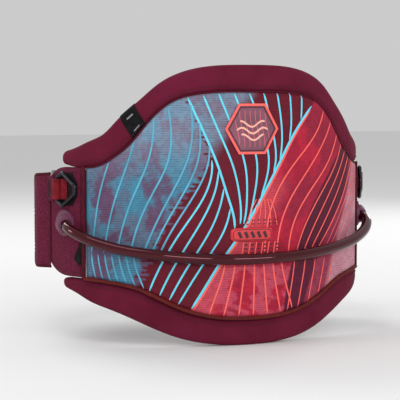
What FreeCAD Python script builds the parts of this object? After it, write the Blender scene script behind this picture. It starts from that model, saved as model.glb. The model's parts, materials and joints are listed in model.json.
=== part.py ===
"""Waist harness for kitesurfing and windsurfing, with its spreader bar, straps and leash tube.

Frame: millimetres, +Z up, the wearer faces -Y and the wearer's left is +X. The origin is the middle of the
waist opening at the height of the spreader bar. The harness is a ring that follows one waist oval of four
tangent arcs. A place on the ring is given by its bearing, which is the angle of the oval's outward normal
from straight back (+Y) towards the wearer's left, and by its stand-off outwards from the oval.
"""
import FreeCAD, Part
import os
import Sketcher
from math import atan2, cos, degrees, hypot, radians, sin

Vec = FreeCAD.Vector
doc = FreeCAD.newDocument("waist_harness")

# ---------------------------------------------------------------- driving dimensions
DIMENSIONS = {
    # waist oval, on the printed face of the back panel
    "half_width": 156.0,
    "half_depth": 116.0,
    "side_radius": 95.0,
    "prism_reach": 200.0,
    # layers of the back, as stand-offs of their outer and inner faces
    "panel_thick": 3.0,
    "sheet_outer": 3.2,
    "sheet_inner": 4.4,
    "foam_outer": 4.6,
    "foam_inner": 11.0,
    "batten_outer": 11.2,
    "batten_inner": 12.8,
    "lining_outer": 13.0,
    "lining_inner": 16.0,
    "hem_outer": 1.0,
    "hem_inner": 15.0,
    "wing_thick": 9.0,
    # front closure belts
    "left_belt_outer": 9.6,
    "left_belt_inner": 13.2,
    "hook_tape_inner": 14.3,
    "loop_tape_inner": 15.4,
    "right_belt_inner": 19.0,
    "belt_half_height": 36.0,
    # leash tube
    "tube_radius": 5.0,
    "line_radius": 2.6,
    "knot_radius": 6.0,
    "eyelet_radius": 12.0,
    "eyelet_bore": 5.25,
    "eyelet_height": 6.0,
    # spreader bar
    "bar_standoff": 12.0,
    "bar_thick": 4.0,
    "post_radius": 3.0,
    "post_half_height": 37.0,
    "rope_hole_radius": 4.5,
    "hook_rod": 4.5,
    "hook_plate_thick": 3.0,
    "screw_radius": 2.5,
    "screw_head_radius": 4.5,
    "screw_head_height": 2.4,
    # straps and cam buckles
    "strap_width": 25.0,
    "strap_thick": 2.0,
    "strap_height": 16.0,
    "flap_thick": 1.4,
    "cheek_thick": 2.0,
    "cheek_height": 9.0,
    "frame_length": 26.0,
    "frame_width": 29.2,
    "pin_radius": 1.5,
    "lever_width": 24.4,
    # leash rings
    "ring_rod": 2.0,
    "ring_height": 34.0,
    "ring_width": 27.0,
    "ring_loop_height": 19.0,
    # marks
    "emblem_flats": 46.0,
    "badge_width": 41.0,
    "badge_height": 12.0,
}
sheet = doc.addObject("Spreadsheet::Sheet", "Sizes")
for row, (alias, value) in enumerate(DIMENSIONS.items(), start=1):
    sheet.set(f"A{row}", alias)
    sheet.set(f"B{row}", str(value))
    sheet.setAlias(f"B{row}", alias)
doc.recompute()


def size(alias):
    """A driving dimension's value, read from the sheet."""
    return float(sheet.get(alias))


# ---------------------------------------------------------------- the waist oval
SIDE_X = size("half_width") - size("side_radius")
BACK_RISE = size("half_depth") - size("side_radius")
BACK_Y = (SIDE_X ** 2 - BACK_RISE ** 2) / (2 * BACK_RISE)
BACK_RADIUS = size("half_depth") + BACK_Y
ARC_TURN = degrees(atan2(SIDE_X, BACK_Y))  # bearing where the back arc meets a side arc
BACK_RADIUS_FORMULA = (
    "Sizes.half_depth + ((Sizes.half_width - Sizes.side_radius)^2 - (Sizes.half_depth - Sizes.side_radius)^2)"
    " / (2 * (Sizes.half_depth - Sizes.side_radius))"
)


def outward(bearing):
    """The outward normal at a bearing."""
    return Vec(sin(radians(bearing)), cos(radians(bearing)), 0)


def arc_centre(bearing):
    """The centre of the oval's arc at a bearing."""
    if abs(bearing) <= ARC_TURN:
        return Vec(0, -BACK_Y, 0)
    if abs(bearing) >= 180 - ARC_TURN:
        return Vec(0, BACK_Y, 0)
    return Vec(SIDE_X if bearing > 0 else -SIDE_X, 0, 0)


def on_oval(bearing, standoff=0.0, height=0.0):
    """The point at a bearing and a stand-off from the oval, at a height."""
    centre = arc_centre(bearing)
    radius = size("side_radius") if centre.y == 0 else BACK_RADIUS
    point = centre + outward(bearing) * (radius + standoff)
    return Vec(point.x, point.y, height)


def oval_sketch():
    """The closed waist oval, fully constrained by the sheet."""
    sketch = doc.addObject("Sketcher::SketchObject", "waist_oval")
    turn = radians(ARC_TURN)
    arcs = [  # centre, radius, start and end angle from +X, anticlockwise
        ((SIDE_X, 0), size("side_radius"), turn - radians(90), radians(90) - turn),
        ((0, -BACK_Y), BACK_RADIUS, radians(90) - turn, radians(90) + turn),
        ((-SIDE_X, 0), size("side_radius"), radians(90) + turn, radians(270) - turn),
        ((0, BACK_Y), BACK_RADIUS, radians(270) - turn, radians(270) + turn),
    ]
    for (x, y), radius, start, end in arcs:
        circle = Part.Circle(Vec(x, y, 0), Vec(0, 0, 1), radius)
        sketch.addGeometry(Part.ArcOfCircle(circle, start, end))
    for i in range(4):
        sketch.addConstraint(Sketcher.Constraint("Tangent", i, 2, (i + 1) % 4, 1))
    for i in (0, 2):
        sketch.addConstraint(Sketcher.Constraint("PointOnObject", i, 3, -1))
        n = sketch.addConstraint(Sketcher.Constraint("Radius", i, size("side_radius")))
        sketch.setExpression(f"Constraints[{n}]", "Sizes.side_radius")
    n = sketch.addConstraint(Sketcher.Constraint("DistanceX", -1, 1, 0, 3, SIDE_X))
    sketch.setExpression(f"Constraints[{n}]", "Sizes.half_width - Sizes.side_radius")
    n = sketch.addConstraint(Sketcher.Constraint("DistanceX", 2, 3, -1, 1, SIDE_X))
    sketch.setExpression(f"Constraints[{n}]", "Sizes.half_width - Sizes.side_radius")
    for i in (1, 3):
        n = sketch.addConstraint(Sketcher.Constraint("Radius", i, BACK_RADIUS))
        sketch.setExpression(f"Constraints[{n}]", BACK_RADIUS_FORMULA)
    return sketch


OVAL = oval_sketch()
doc.recompute()
prisms = {}


def oval_prism(standoff):
    """A tall solid prism on the oval offset by a formula of the sheet's cells."""
    if standoff not in prisms:
        base = OVAL
        if standoff != "0":
            base = doc.addObject("Part::Offset2D", "oval_offset")
            base.Source = OVAL
            base.setExpression("Value", standoff)
        prism = doc.addObject("Part::Extrusion", "oval_prism")
        prism.Base = base
        prism.Dir = Vec(0, 0, 1)
        prism.Solid = True
        prism.setExpression("LengthFwd", "Sizes.prism_reach")
        prism.setExpression("LengthRev", "Sizes.prism_reach")
        prisms[standoff] = prism
    return prisms[standoff]


def layer(outer, inner):
    """The tall ring between two stand-offs of the oval, each a formula of the sheet's cells."""
    ring = doc.addObject("Part::Cut", "oval_ring")
    ring.Base = oval_prism(outer)
    ring.Tool = oval_prism(inner)
    return ring


# ---------------------------------------------------------------- outlines
# Edges of the back as (bearing, height) on its left half; the right half mirrors them.
PANEL_TOP = [(0, 116), (16, 113.5), (23, 105), (28, 90), (33, 70), (38, 56.5), (46, 49.5), (56, 47)]
PANEL_BOTTOM = [(0, -90.5), (12, -87.5), (20, -79.5), (26, -70), (32, -61.5), (38, -57.5), (56, -55)]
TOP_EDGE = [(0, 140), (12, 138.5), (20, 132.5), (26, 122), (31, 108), (37, 91), (44, 78.5), (54, 71),
            (62, 66)]
TOP_LOBE = [(70, 61.8), (76.5, 54.6), (74.5, 49.4), (66, 47.4)]
BOTTOM_EDGE = [(0, -115), (12, -112.5), (20, -107), (27, -98.5), (33, -90), (42, -81.5), (54, -75.5),
               (62, -70)]
BOTTOM_LOBE = [(71, -65.2), (76, -59.8), (73.5, -56.6), (64, -55.7)]
PANEL_SIDE = 55.0
BINDING_SIDES = (55.2, 57.2)
PIPING_HALF = 1.8
SEAM_GAP = 0.2
# Edges of the left wing as (bearing, height); it is seen from the side.
WING_TOP = [(57.6, 46.4), (64, 46.5), (70, 46.4), (75, 46.0), (80, 44), (86, 40), (93, 35), (101, 31),
            (112, 30), (154, 30)]
WING_BOTTOM = [(57.6, -54.6), (65, -54.5), (71, -54.3), (78, -52.8), (86, -48), (94, -41), (101, -34),
               (112, -30.5), (154, -30)]
WING_NOSE = 157.0


def back_view(edge, standoff=0.0, lift=0.0):
    """The edge's points as seen from behind, in (x, z)."""
    return [(on_oval(b, standoff).x, z + lift) for b, z in edge]


def side_view(edge, standoff=0.0):
    """The edge's points as seen from the side, in (y, z)."""
    return [(on_oval(b, standoff).y, z) for b, z in edge]


def both_sides(edge):
    """A left half edge carried over to the right, from right to left."""
    return [(-u, v) for u, v in reversed(edge) if u > 0] + edge


def spline(sketch, points):
    """Adds an open curve through the points."""
    curve = Part.BSplineCurve()
    curve.interpolate([Vec(u, v, 0) for u, v in points])
    sketch.addGeometry(curve)


def chain(sketch, points, closed=False):
    """Adds straight lines from point to point."""
    ends = list(zip(points, points[1:]))
    if closed:
        ends.append((points[-1], points[0]))
    for a, b in ends:
        sketch.addGeometry(Part.LineSegment(Vec(*a, 0), Vec(*b, 0)))


# Sketch planes: seen from behind (u = x, v = z) and seen from the side (u = y, v = z).
BACK_PLANE = FreeCAD.Rotation(Vec(1, 0, 0), Vec(0, 0, 1), Vec(0, -1, 0), "ZXY")
SIDE_PLANE = FreeCAD.Rotation(Vec(0, 1, 0), Vec(0, 0, 1), Vec(1, 0, 0), "ZXY")


def outline(name, curves, plane, direction):
    """A prism from an outline made of curves end to end, pushed out in a direction from the origin plane."""
    sketch = doc.addObject("Sketcher::SketchObject", name + "_outline")
    sketch.Placement = FreeCAD.Placement(Vec(0, 0, 0), plane)
    for curve in curves:
        if len(curve) > 2:
            spline(sketch, curve)
        else:
            chain(sketch, curve)
    for a, b in zip(curves, curves[1:] + curves[:1]):
        if hypot(a[-1][0] - b[0][0], a[-1][1] - b[0][1]) > 1e-6:
            chain(sketch, [a[-1], b[0]])
    prism = doc.addObject("Part::Extrusion", name + "_prism")
    prism.Base = sketch
    prism.Dir = direction
    prism.Solid = True
    prism.setExpression("LengthFwd", "Sizes.prism_reach")
    return prism


def plan_prism(name, points):
    """A tall prism on a polygon in plan, to keep a stretch of the ring."""
    sketch = doc.addObject("Sketcher::SketchObject", name + "_plan")
    chain(sketch, points, closed=True)
    prism = doc.addObject("Part::Extrusion", name + "_sector")
    prism.Base = sketch
    prism.Dir = Vec(0, 0, 1)
    prism.Solid = True
    prism.setExpression("LengthFwd", "Sizes.prism_reach")
    prism.setExpression("LengthRev", "Sizes.prism_reach")
    return prism


def ray(bearing, reach=260.0):
    """A far point of the ray that leaves the arc's centre at a bearing, in plan."""
    point = arc_centre(bearing) + outward(bearing) * reach
    return (point.x, point.y)


def centre_of(bearing):
    """The arc's centre at a bearing, in plan."""
    centre = arc_centre(bearing)
    return (centre.x, centre.y)


def back_sector(name, bearing):
    """Keeps the back of the ring between the bearing on each side."""
    x, y = ray(bearing)
    return plan_prism(name, [(SIDE_X, 0), (x, y), (x, 280), (-x, 280), (-x, y), (-SIDE_X, 0)])


def side_sector(name, start, end):
    """Keeps the left of the ring between two bearings on its side arc."""
    return plan_prism(name, [(SIDE_X, 0), ray(start), ray(end)])


def left_sector(name, start, end):
    """Keeps the left of the ring from a bearing on the side arc to one on the front arc."""
    inner = arc_centre(end) + outward(end) * 150
    corner = 320
    return plan_prism(name, [(SIDE_X, 0), ray(start), (corner, ray(start)[1]), (corner, -corner),
                             ray(end, 2 * corner), (inner.x, inner.y)])


nodes = {}


def add_node(name, feature, label=None):
    """Registers a finished object as a sub-part."""
    feature.Label = label or name
    nodes[name] = feature
    return feature


def common(name, *shapes):
    """A sub-part that is what its shapes share."""
    part = doc.addObject("Part::MultiCommon", name + "_common")
    part.Shapes = list(shapes)
    return part


def mirrored(name, source):
    """The right-hand twin of a left-hand sub-part."""
    twin = doc.addObject("Part::Mirroring", name + "_mirror")
    twin.Source = source
    twin.Normal = Vec(1, 0, 0)
    return twin


# ---------------------------------------------------------------- back: panel, layers and hems
panel_top = both_sides(back_view(PANEL_TOP))
panel_bottom = both_sides(back_view(PANEL_BOTTOM))


def lifted(points, lift):
    """The points moved up or down."""
    return [(u, v + lift) for u, v in points]


def back_piece(name, outer, inner, top, bottom, sector):
    """One layer of the back between two edges and inside a sector."""
    curves = [top, list(reversed(bottom))]
    prism = outline(name, curves, BACK_PLANE, Vec(0, 1, 0))
    return add_node(name, common(name, layer(outer, inner), prism, sector))


panel_sector = back_sector("panel", PANEL_SIDE)
core_top = lifted(panel_top, -SEAM_GAP)
core_bottom = lifted(panel_bottom, PIPING_HALF + SEAM_GAP)
back_piece("printed_back_panel", "0", "-Sizes.panel_thick", core_top, core_bottom, panel_sector)
back_piece("stiffener_sheet", "-Sizes.sheet_outer", "-Sizes.sheet_inner",
           lifted(panel_top, -8), lifted(panel_bottom, 8), back_sector("sheet", 46))
back_piece("foam_core", "-Sizes.foam_outer", "-Sizes.foam_inner", core_top, core_bottom, panel_sector)
back_piece("inner_lining", "-Sizes.lining_outer", "-Sizes.lining_inner", core_top, core_bottom, panel_sector)

BATTEN_BEARINGS = (-33.0, -11.0, 11.0, 33.0)
BATTEN_HALF = 3.5


def lumbar_battens():
    """Four upright battens between the foam and the lining."""
    made = []
    for i, bearing in enumerate(BATTEN_BEARINGS):
        near, far = ray(bearing - BATTEN_HALF), ray(bearing + BATTEN_HALF)
        sector = plan_prism(f"batten_{i}", [centre_of(bearing), near, far])
        reach = 52.0 if abs(bearing) > 20 else 78.0
        low = -44.0 if abs(bearing) > 20 else -70.0
        u = on_oval(bearing).x
        box = outline(f"batten_{i}", [[(u - 20, reach), (u + 20, reach)], [(u + 20, low), (u - 20, low)]],
                      BACK_PLANE, Vec(0, 1, 0))
        made.append(common(f"batten_{i}", layer("-Sizes.batten_outer", "-Sizes.batten_inner"), box, sector))
    group = doc.addObject("Part::Compound", "battens")
    group.Links = made
    return add_node("lumbar_battens", group)


lumbar_battens()


hem_sector = back_sector("hem", 77.0)


def hem(name, edge, lobe, inner_edge):
    """A soft lip beyond the panel's edge, with a rounded lobe at each end."""
    left = back_view(edge) + back_view(lobe)
    outer = both_sides(left)
    prism = outline(name, [outer, list(reversed(inner_edge))], BACK_PLANE, Vec(0, 1, 0))
    return add_node(name, common(name, layer("-Sizes.hem_outer", "-Sizes.hem_inner"), prism, hem_sector))


hem("top_hem", TOP_EDGE, TOP_LOBE, panel_top)
hem("bottom_hem", BOTTOM_EDGE, BOTTOM_LOBE, lifted(panel_bottom, -PIPING_HALF - SEAM_GAP))

back_piece("lower_piping", "Sizes.hem_outer", "-Sizes.panel_thick",
           lifted(panel_bottom, PIPING_HALF), lifted(panel_bottom, -PIPING_HALF), panel_sector)

binding_box = outline("binding", [[(0, 46.4), (90, 46.4)], [(90, -54.6), (0, -54.6)]],
                      SIDE_PLANE, Vec(1, 0, 0))
left_binding = add_node("left_side_binding", common(
    "left_side_binding", layer("0.8 * Sizes.hem_outer", "-Sizes.foam_inner"), binding_box,
    side_sector("binding", *BINDING_SIDES)))
add_node("right_side_binding", mirrored("right_side_binding", left_binding))

# ---------------------------------------------------------------- marks on the back
EMBLEM_Z = 82.0
BADGE_Z = -14.0
LABEL_BEARING = 33.0
mark_layer = layer("Sizes.hem_outer", "0.1 * Sizes.hem_outer")


def emblem():
    """A six-sided patch with flat top and bottom."""
    half = size("emblem_flats") / 2
    corner = half / cos(radians(30))
    points = [(corner * cos(radians(60 * i)), EMBLEM_Z + corner * sin(radians(60 * i))) for i in range(7)]
    prism = outline("hex_emblem", [list(p) for p in zip(points, points[1:])], BACK_PLANE, Vec(0, 1, 0))
    return add_node("hex_emblem", common("hex_emblem", mark_layer, prism))


emblem()


def badge():
    """A raised rubber badge: a plain rounded bar across the panel."""
    block = doc.addObject("Part::Box", "badge_block")
    block.setExpression("Length", "Sizes.badge_width")
    block.setExpression("Height", "Sizes.badge_height")
    block.setExpression("Width", "Sizes.prism_reach")
    block.Placement.Base = Vec(-size("badge_width") / 2, 0, BADGE_Z - size("badge_height") / 2)
    doc.recompute()
    rounded = doc.addObject("Part::Fillet", "badge_rounded")
    rounded.Base = block
    along_y = [i for i, e in enumerate(block.Shape.Edges, start=1) if abs(e.tangentAt(0).y) > 0.9]
    rounded.Edges = [(i, 3.0, 3.0) for i in along_y]
    raised = layer("2.4 * Sizes.hem_outer", "0.1 * Sizes.hem_outer")
    return add_node("rubber_badge", common("rubber_badge", raised, rounded))


badge()


def hem_label():
    """A woven label folded over the top hem."""
    middle = on_oval(LABEL_BEARING)
    low, high = Vec(middle.x - 13, 68, 0), Vec(middle.x + 17, 104, 0)
    along = (high - low).normalize()
    across = Vec(-along.y, along.x, 0) * 10
    corners = [low - across, high - across, high + across, low + across]
    points = [(p.x, p.y) for p in corners]
    sides = [list(p) for p in zip(points, points[1:] + points[:1])]
    prism = outline("hem_label", sides, BACK_PLANE, Vec(0, 1, 0))
    wrap = layer("0.2 * Sizes.hem_outer", "-Sizes.hem_inner - 1.2 * Sizes.hem_outer")
    sleeve = common("label_sleeve", wrap, prism)
    grown = back_view(TOP_EDGE, 0.0, 1.2) + back_view(TOP_LOBE)
    cover = outline("label_cover", [both_sides(grown), list(reversed(panel_top))], BACK_PLANE, Vec(0, 1, 0))
    outer = common("label_outer", sleeve, cover)
    label = doc.addObject("Part::Cut", "label")
    label.Base = outer
    label.Tool = nodes["top_hem"]
    return add_node("hem_label", label)


hem_label()

# ---------------------------------------------------------------- hip wings
RING_BEARING = 74.0
RING_Z = 26.0
EYELET_BEARING = 70.0
EYELET_Z = -5.0
wing_curves = [side_view(WING_TOP), [side_view(WING_TOP)[-1], (-110, 18)], [(-110, 18), (-110, -18)],
               [(-110, -18), side_view(WING_BOTTOM)[-1]], list(reversed(side_view(WING_BOTTOM)))]
wing_prism = outline("wing", wing_curves, SIDE_PLANE, Vec(1, 0, 0))
wing_blank = common("wing_blank", layer("0", "-Sizes.wing_thick"), wing_prism,
                    left_sector("wing", 57.6, WING_NOSE))

# The tube leaves the wing leaning back along the hip, so its hole and its eyelet lean with it.
TUBE_LEAN = 55.0
TUBE_DROOP = 16.0


def eyelet_axis():
    """The direction in which the tube leaves the left eyelet."""
    back_along = Vec(-cos(radians(EYELET_BEARING)), sin(radians(EYELET_BEARING)), 0)
    lean, droop = radians(TUBE_LEAN), radians(TUBE_DROOP)
    along = back_along * cos(droop) - Vec(0, 0, sin(droop))
    return outward(EYELET_BEARING) * cos(lean) + along * sin(lean)


def towards(point, direction):
    """A placement at a point with its Z along a direction."""
    return FreeCAD.Placement(point, FreeCAD.Rotation(Vec(0, 0, 1), direction))


EYELET_POINT = on_oval(EYELET_BEARING, 0, EYELET_Z)


def cylinder(name, radius, height, placement):
    """A cylinder whose radius and height are formulas of the sheet's cells."""
    made = doc.addObject("Part::Cylinder", name)
    made.setExpression("Radius", radius)
    made.setExpression("Height", height)
    made.Placement = placement
    return made


line_hole = cylinder("line_hole", "Sizes.tube_radius + 1.2", "8 * Sizes.tube_radius",
                     towards(EYELET_POINT - eyelet_axis() * 20, eyelet_axis()))
slit_corners = side_view([(57.2, -20.0), (57.2, -43.0), (62.5, -38.0)])
slit = outline("wing_slit", [list(p) for p in zip(slit_corners, slit_corners[1:] + slit_corners[:1])],
               SIDE_PLANE, Vec(1, 0, 0))
wing_cuts = doc.addObject("Part::Fuse", "wing_cuts")
wing_cuts.Base, wing_cuts.Tool = line_hole, slit
left_wing = doc.addObject("Part::Cut", "left_wing")
left_wing.Base, left_wing.Tool = wing_blank, wing_cuts
add_node("left_hip_wing", left_wing)
add_node("right_hip_wing", mirrored("right_hip_wing", left_wing))


def eyelet():
    """A moulded rubber collar around the tube's end, sitting on the wing."""
    foot = cylinder("eyelet_foot", "Sizes.eyelet_radius", "0.55 * Sizes.eyelet_height",
                    towards(on_oval(EYELET_BEARING, -1.0, EYELET_Z), outward(EYELET_BEARING)))
    collar = doc.addObject("Part::Cone", "eyelet_collar")
    collar.setExpression("Radius1", "0.82 * Sizes.eyelet_radius")
    collar.setExpression("Radius2", "0.62 * Sizes.eyelet_radius")
    collar.setExpression("Height", "0.75 * Sizes.eyelet_height")
    collar.Placement = towards(EYELET_POINT + eyelet_axis() * 3, eyelet_axis())
    body = doc.addObject("Part::Fuse", "eyelet_solid")
    body.Base, body.Tool = foot, collar
    outside = doc.addObject("Part::Cut", "eyelet_on_wing")
    outside.Base, outside.Tool = body, oval_prism("0.1 * Sizes.hem_outer")
    bore = cylinder("eyelet_bore", "Sizes.eyelet_bore", "12 * Sizes.tube_radius",
                    towards(EYELET_POINT - eyelet_axis() * 30, eyelet_axis()))
    made = doc.addObject("Part::Cut", "eyelet_cut")
    made.Base, made.Tool = outside, bore
    return made


left_eyelet = add_node("left_eyelet", eyelet())
add_node("right_eyelet", mirrored("right_eyelet", left_eyelet))

# ---------------------------------------------------------------- leash tube and line
# Left half of the tube's route as (bearing, stand-off, height), from the middle of the back to the eyelet.
TUBE_ROUTE = [(0, 8.6, -36.4), (17, 8.8, -34.2), (33, 9.6, -28.0), (44.5, 10.4, -21.0), (54.5, 11.2, -14.6)]
TUBE_ENTRY = 15.5


def tube_points():
    """The route's points from the left eyelet round the back to the right one."""
    start = EYELET_POINT + eyelet_axis() * 1.0
    lead = EYELET_POINT + eyelet_axis() * TUBE_ENTRY
    half = [on_oval(b, s, z) for b, s, z in TUBE_ROUTE]
    left = [start, lead] + list(reversed(half[1:]))
    right = [Vec(-p.x, p.y, p.z) for p in reversed(left)]
    return left + half[:1] + right


def corner_arc(before, corner, after, cut):
    """The arc tangent to both runs of a corner that starts a cut before it, with its radius and turn."""
    back, on = (before - corner).normalize(), (after - corner).normalize()
    turn = radians(180) - back.getAngle(on)
    radius = cut / (sin(turn / 2) / cos(turn / 2))
    middle = corner + (back + on).normalize() * (radius / cos(turn / 2) - radius)
    return corner + back * cut, middle, corner + on * cut, radius, degrees(turn)


def rounded_path(points):
    """Straight runs joined by tangent arcs, each as large as its two runs allow."""
    edges, at = [], points[0]
    for before, corner, after in zip(points, points[1:], points[2:]):
        cut = 0.45 * min((before - corner).Length, (after - corner).Length)
        enter, middle, leave, radius, turn = corner_arc(before, corner, after, cut)
        edges.append(Part.LineSegment(at, enter).toShape())
        edges.append(Part.Arc(enter, middle, leave).toShape())
        print(f"bend: turn {turn:.1f} degrees, radius {radius:.0f} mm")
        at = leave
    edges.append(Part.LineSegment(at, points[-1]).toShape())
    return Part.Wire(edges)


def rounded_loop(corners, bend):
    """A closed outline in plan with every corner rounded to one radius, starting with its first side."""
    points = [Vec(u, v, 0) for u, v in corners]
    arcs = []
    for i, corner in enumerate(points):
        before, after = points[i - 1], points[(i + 1) % len(points)]
        half_turn = radians(90) - (before - corner).getAngle(after - corner) / 2
        cut = bend * sin(half_turn) / cos(half_turn)
        arcs.append(corner_arc(before, corner, after, cut))
    edges = []
    for i, (enter, middle, leave, *_) in enumerate(arcs):
        following = arcs[(i + 1) % len(arcs)]
        edges.append(Part.LineSegment(leave, following[0]).toShape())
        edges.append(Part.Arc(*following[:3]).toShape())
    return Part.Wire(edges)


def rod_loop(corners, bend, rod):
    """A closed ring of round rod along a rounded outline."""
    path = rounded_loop(corners, bend)
    first = path.Edges[0]
    at = first.valueAt(first.FirstParameter)
    ring = Part.Wire(Part.makeCircle(rod, at, first.tangentAt(first.FirstParameter)))
    return path.makePipeShell([ring], True, True)


def swept(path, outer, inner=None):
    """A round tube or rod along a path."""
    first = path.Edges[0]
    start = first.valueAt(first.FirstParameter)
    heading = first.tangentAt(first.FirstParameter)
    rings = [Part.Wire(Part.makeCircle(r, start, heading)) for r in (outer, inner) if r]
    solids = [path.makePipeShell([ring], True, True) for ring in rings]
    return solids[0] if len(solids) == 1 else solids[0].cut(solids[1])


def shape_node(name, shape):
    """A sub-part whose shape is set directly."""
    feature = doc.addObject("Part::Feature", name + "_shape")
    feature.Shape = shape
    return add_node(name, feature)


route = tube_points()
tube_path = rounded_path(route)
tube_solid = swept(tube_path, size("tube_radius"), size("line_radius") + 0.4)
shape_node("leash_tube", tube_solid)


def leash_line():
    """The rope inside the tube, with a stopper knot behind each wing."""
    inside = eyelet_axis() * 13.0
    left_end = route[0] - inside
    right_end = Vec(-left_end.x, left_end.y, left_end.z)
    path = rounded_path([left_end] + route[1:-1] + [right_end])
    rope = swept(path, size("line_radius"))
    knots = [Part.makeSphere(size("knot_radius"), end) for end in (left_end, right_end)]
    return shape_node("leash_line", rope.fuse(knots).removeSplitter())


leash_line()
tube_section = 3.141592653589793 * (size("tube_radius") ** 2 - (size("line_radius") + 0.4) ** 2)
print(f"tube length {tube_path.Length:.1f} mm, volume {tube_solid.Volume:.0f}, "
      f"section times length {tube_section * tube_path.Length:.0f}")

# ---------------------------------------------------------------- leash rings
RING_TIP_BEARING = 57.5
RING_STANDOFF = 4.4
ring_hinge = on_oval(RING_BEARING, RING_STANDOFF, RING_Z)
ring_tip = on_oval(RING_TIP_BEARING, RING_STANDOFF, RING_Z)


def plane_at(point, along, up=Vec(0, 0, 1)):
    """A placement whose X runs along a direction and whose Y is up."""
    across = along.normalize().cross(up)
    return FreeCAD.Placement(point, FreeCAD.Rotation(along, up, across, "ZXY"))


def leash_ring():
    """A six-sided ring bent from round rod: a long straight side and a blunt point opposite."""
    half, width = size("ring_height") / 2 - size("ring_rod"), size("ring_width") - 2 * size("ring_rod")
    corners = [(0, -0.72 * half), (0, 0.72 * half), (0.3 * width, half), (width, 0.26 * half),
               (width, -0.26 * half), (0.3 * width, -half)]
    return rod_loop(corners, 3.0, size("ring_rod"))


ring_solid = leash_ring()
ring_feature = doc.addObject("Part::Feature", "left_ring_shape")
ring_feature.Shape = ring_solid
ring_feature.Placement = plane_at(ring_hinge, ring_tip - ring_hinge)
add_node("left_leash_ring", ring_feature)
add_node("right_leash_ring", mirrored("right_leash_ring", ring_feature))


def ring_loop():
    """A webbing loop round the ring's straight side, with a tail sewn to the wing."""
    foot = FreeCAD.Placement(ring_hinge - Vec(0, 0, size("ring_loop_height") / 2), FreeCAD.Rotation())
    sleeve = cylinder("ring_sleeve", "Sizes.ring_rod + 1.9", "Sizes.ring_loop_height", foot)
    tail_box = doc.addObject("Part::Box", "ring_tail_box")
    tail_box.setExpression("Height", "Sizes.ring_loop_height")
    tail_box.Length, tail_box.Width = 40, 17
    tail_box.Placement = FreeCAD.Placement(Vec(130, ring_hinge.y - 17, RING_Z - size("ring_loop_height") / 2),
                                           FreeCAD.Rotation())
    tail = common("ring_tail", layer("1.9 * Sizes.hem_outer", "0.1 * Sizes.hem_outer"), tail_box)
    body = doc.addObject("Part::Fuse", "ring_loop_solid")
    body.Base, body.Tool = sleeve, tail
    outside = doc.addObject("Part::Cut", "ring_loop_outside")
    outside.Base, outside.Tool = body, oval_prism("0.1 * Sizes.hem_outer")
    bore = cylinder("ring_loop_bore", "Sizes.ring_rod + 0.25", "2 * Sizes.ring_loop_height",
                    FreeCAD.Placement(ring_hinge - Vec(0, 0, size("ring_loop_height")), FreeCAD.Rotation()))
    made = doc.addObject("Part::Cut", "ring_loop")
    made.Base, made.Tool = outside, bore
    return made


left_loop = add_node("left_ring_loop", ring_loop())
add_node("right_ring_loop", mirrored("right_ring_loop", left_loop))


def ring_patch():
    """A dark wear patch on the wing under the ring."""
    points = [(41.0, RING_Z - 15), (30.5, RING_Z - 15), (30.5, RING_Z + 15), (41.0, RING_Z + 15),
              (48.5, RING_Z + 5), (48.5, RING_Z - 5)]
    sides = [list(p) for p in zip(points, points[1:] + points[:1])]
    prism = outline("ring_patch", sides, SIDE_PLANE, Vec(1, 0, 0))
    return common("ring_patch", layer("0.9 * Sizes.hem_outer", "0.1 * Sizes.hem_outer"), prism)


left_patch = add_node("left_ring_patch", ring_patch())
add_node("right_ring_patch", mirrored("right_ring_patch", left_patch))

# ---------------------------------------------------------------- closure belts inside the wings
BELT_START = 86.0
BELT_OVERLAP = 14.0  # how far each belt passes the middle of the front


def belt(name, outer, inner, height_share=1.0):
    """A soft closure belt from the left hip to past the middle of the front."""
    half = size("belt_half_height") * height_share
    box = outline(name, [[(60, half), (-170, half)], [(-170, -half), (60, -half)]], SIDE_PLANE, Vec(1, 0, 0))
    start, end = ray(BELT_START), ray(180 - BELT_OVERLAP)
    past = (-ray(180 - BELT_OVERLAP)[0], end[1])
    inner_point = (-40.0, -40.0)
    sector = plan_prism(name, [(SIDE_X, 0), start, (320, start[1]), (320, -320), past, inner_point])
    box.setExpression("LengthRev", "Sizes.prism_reach")
    return common(name, layer(outer, inner), box, sector)


left_source = belt("left_closure_belt", "-Sizes.left_belt_outer", "-Sizes.left_belt_inner")
left_belt = add_node("left_closure_belt", left_source)
right_source = belt("right_closure_belt", "-Sizes.loop_tape_inner - 0.1", "-Sizes.right_belt_inner")
add_node("right_closure_belt", mirrored("right_closure_belt", right_source))


def tape(name, outer, inner):
    """A touch-fastener tape over the overlap of the belts."""
    half = size("belt_half_height") - 8
    span = 13.0
    low, high = ray(180 - span), ray(180 + span - 360)
    sector = plan_prism(name, [centre_of(180), low, (low[0], -320), (high[0], -320), high])
    box = outline(name, [[(0, half), (-170, half)], [(-170, -half), (0, -half)]], SIDE_PLANE, Vec(1, 0, 0))
    box.setExpression("LengthRev", "Sizes.prism_reach")
    return add_node(name, common(name, layer(outer, inner), box, sector))


tape("hook_tape", "-Sizes.left_belt_inner - 0.1", "-Sizes.hook_tape_inner")
tape("loop_tape", "-Sizes.hook_tape_inner - 0.1", "-Sizes.loop_tape_inner")

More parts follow.
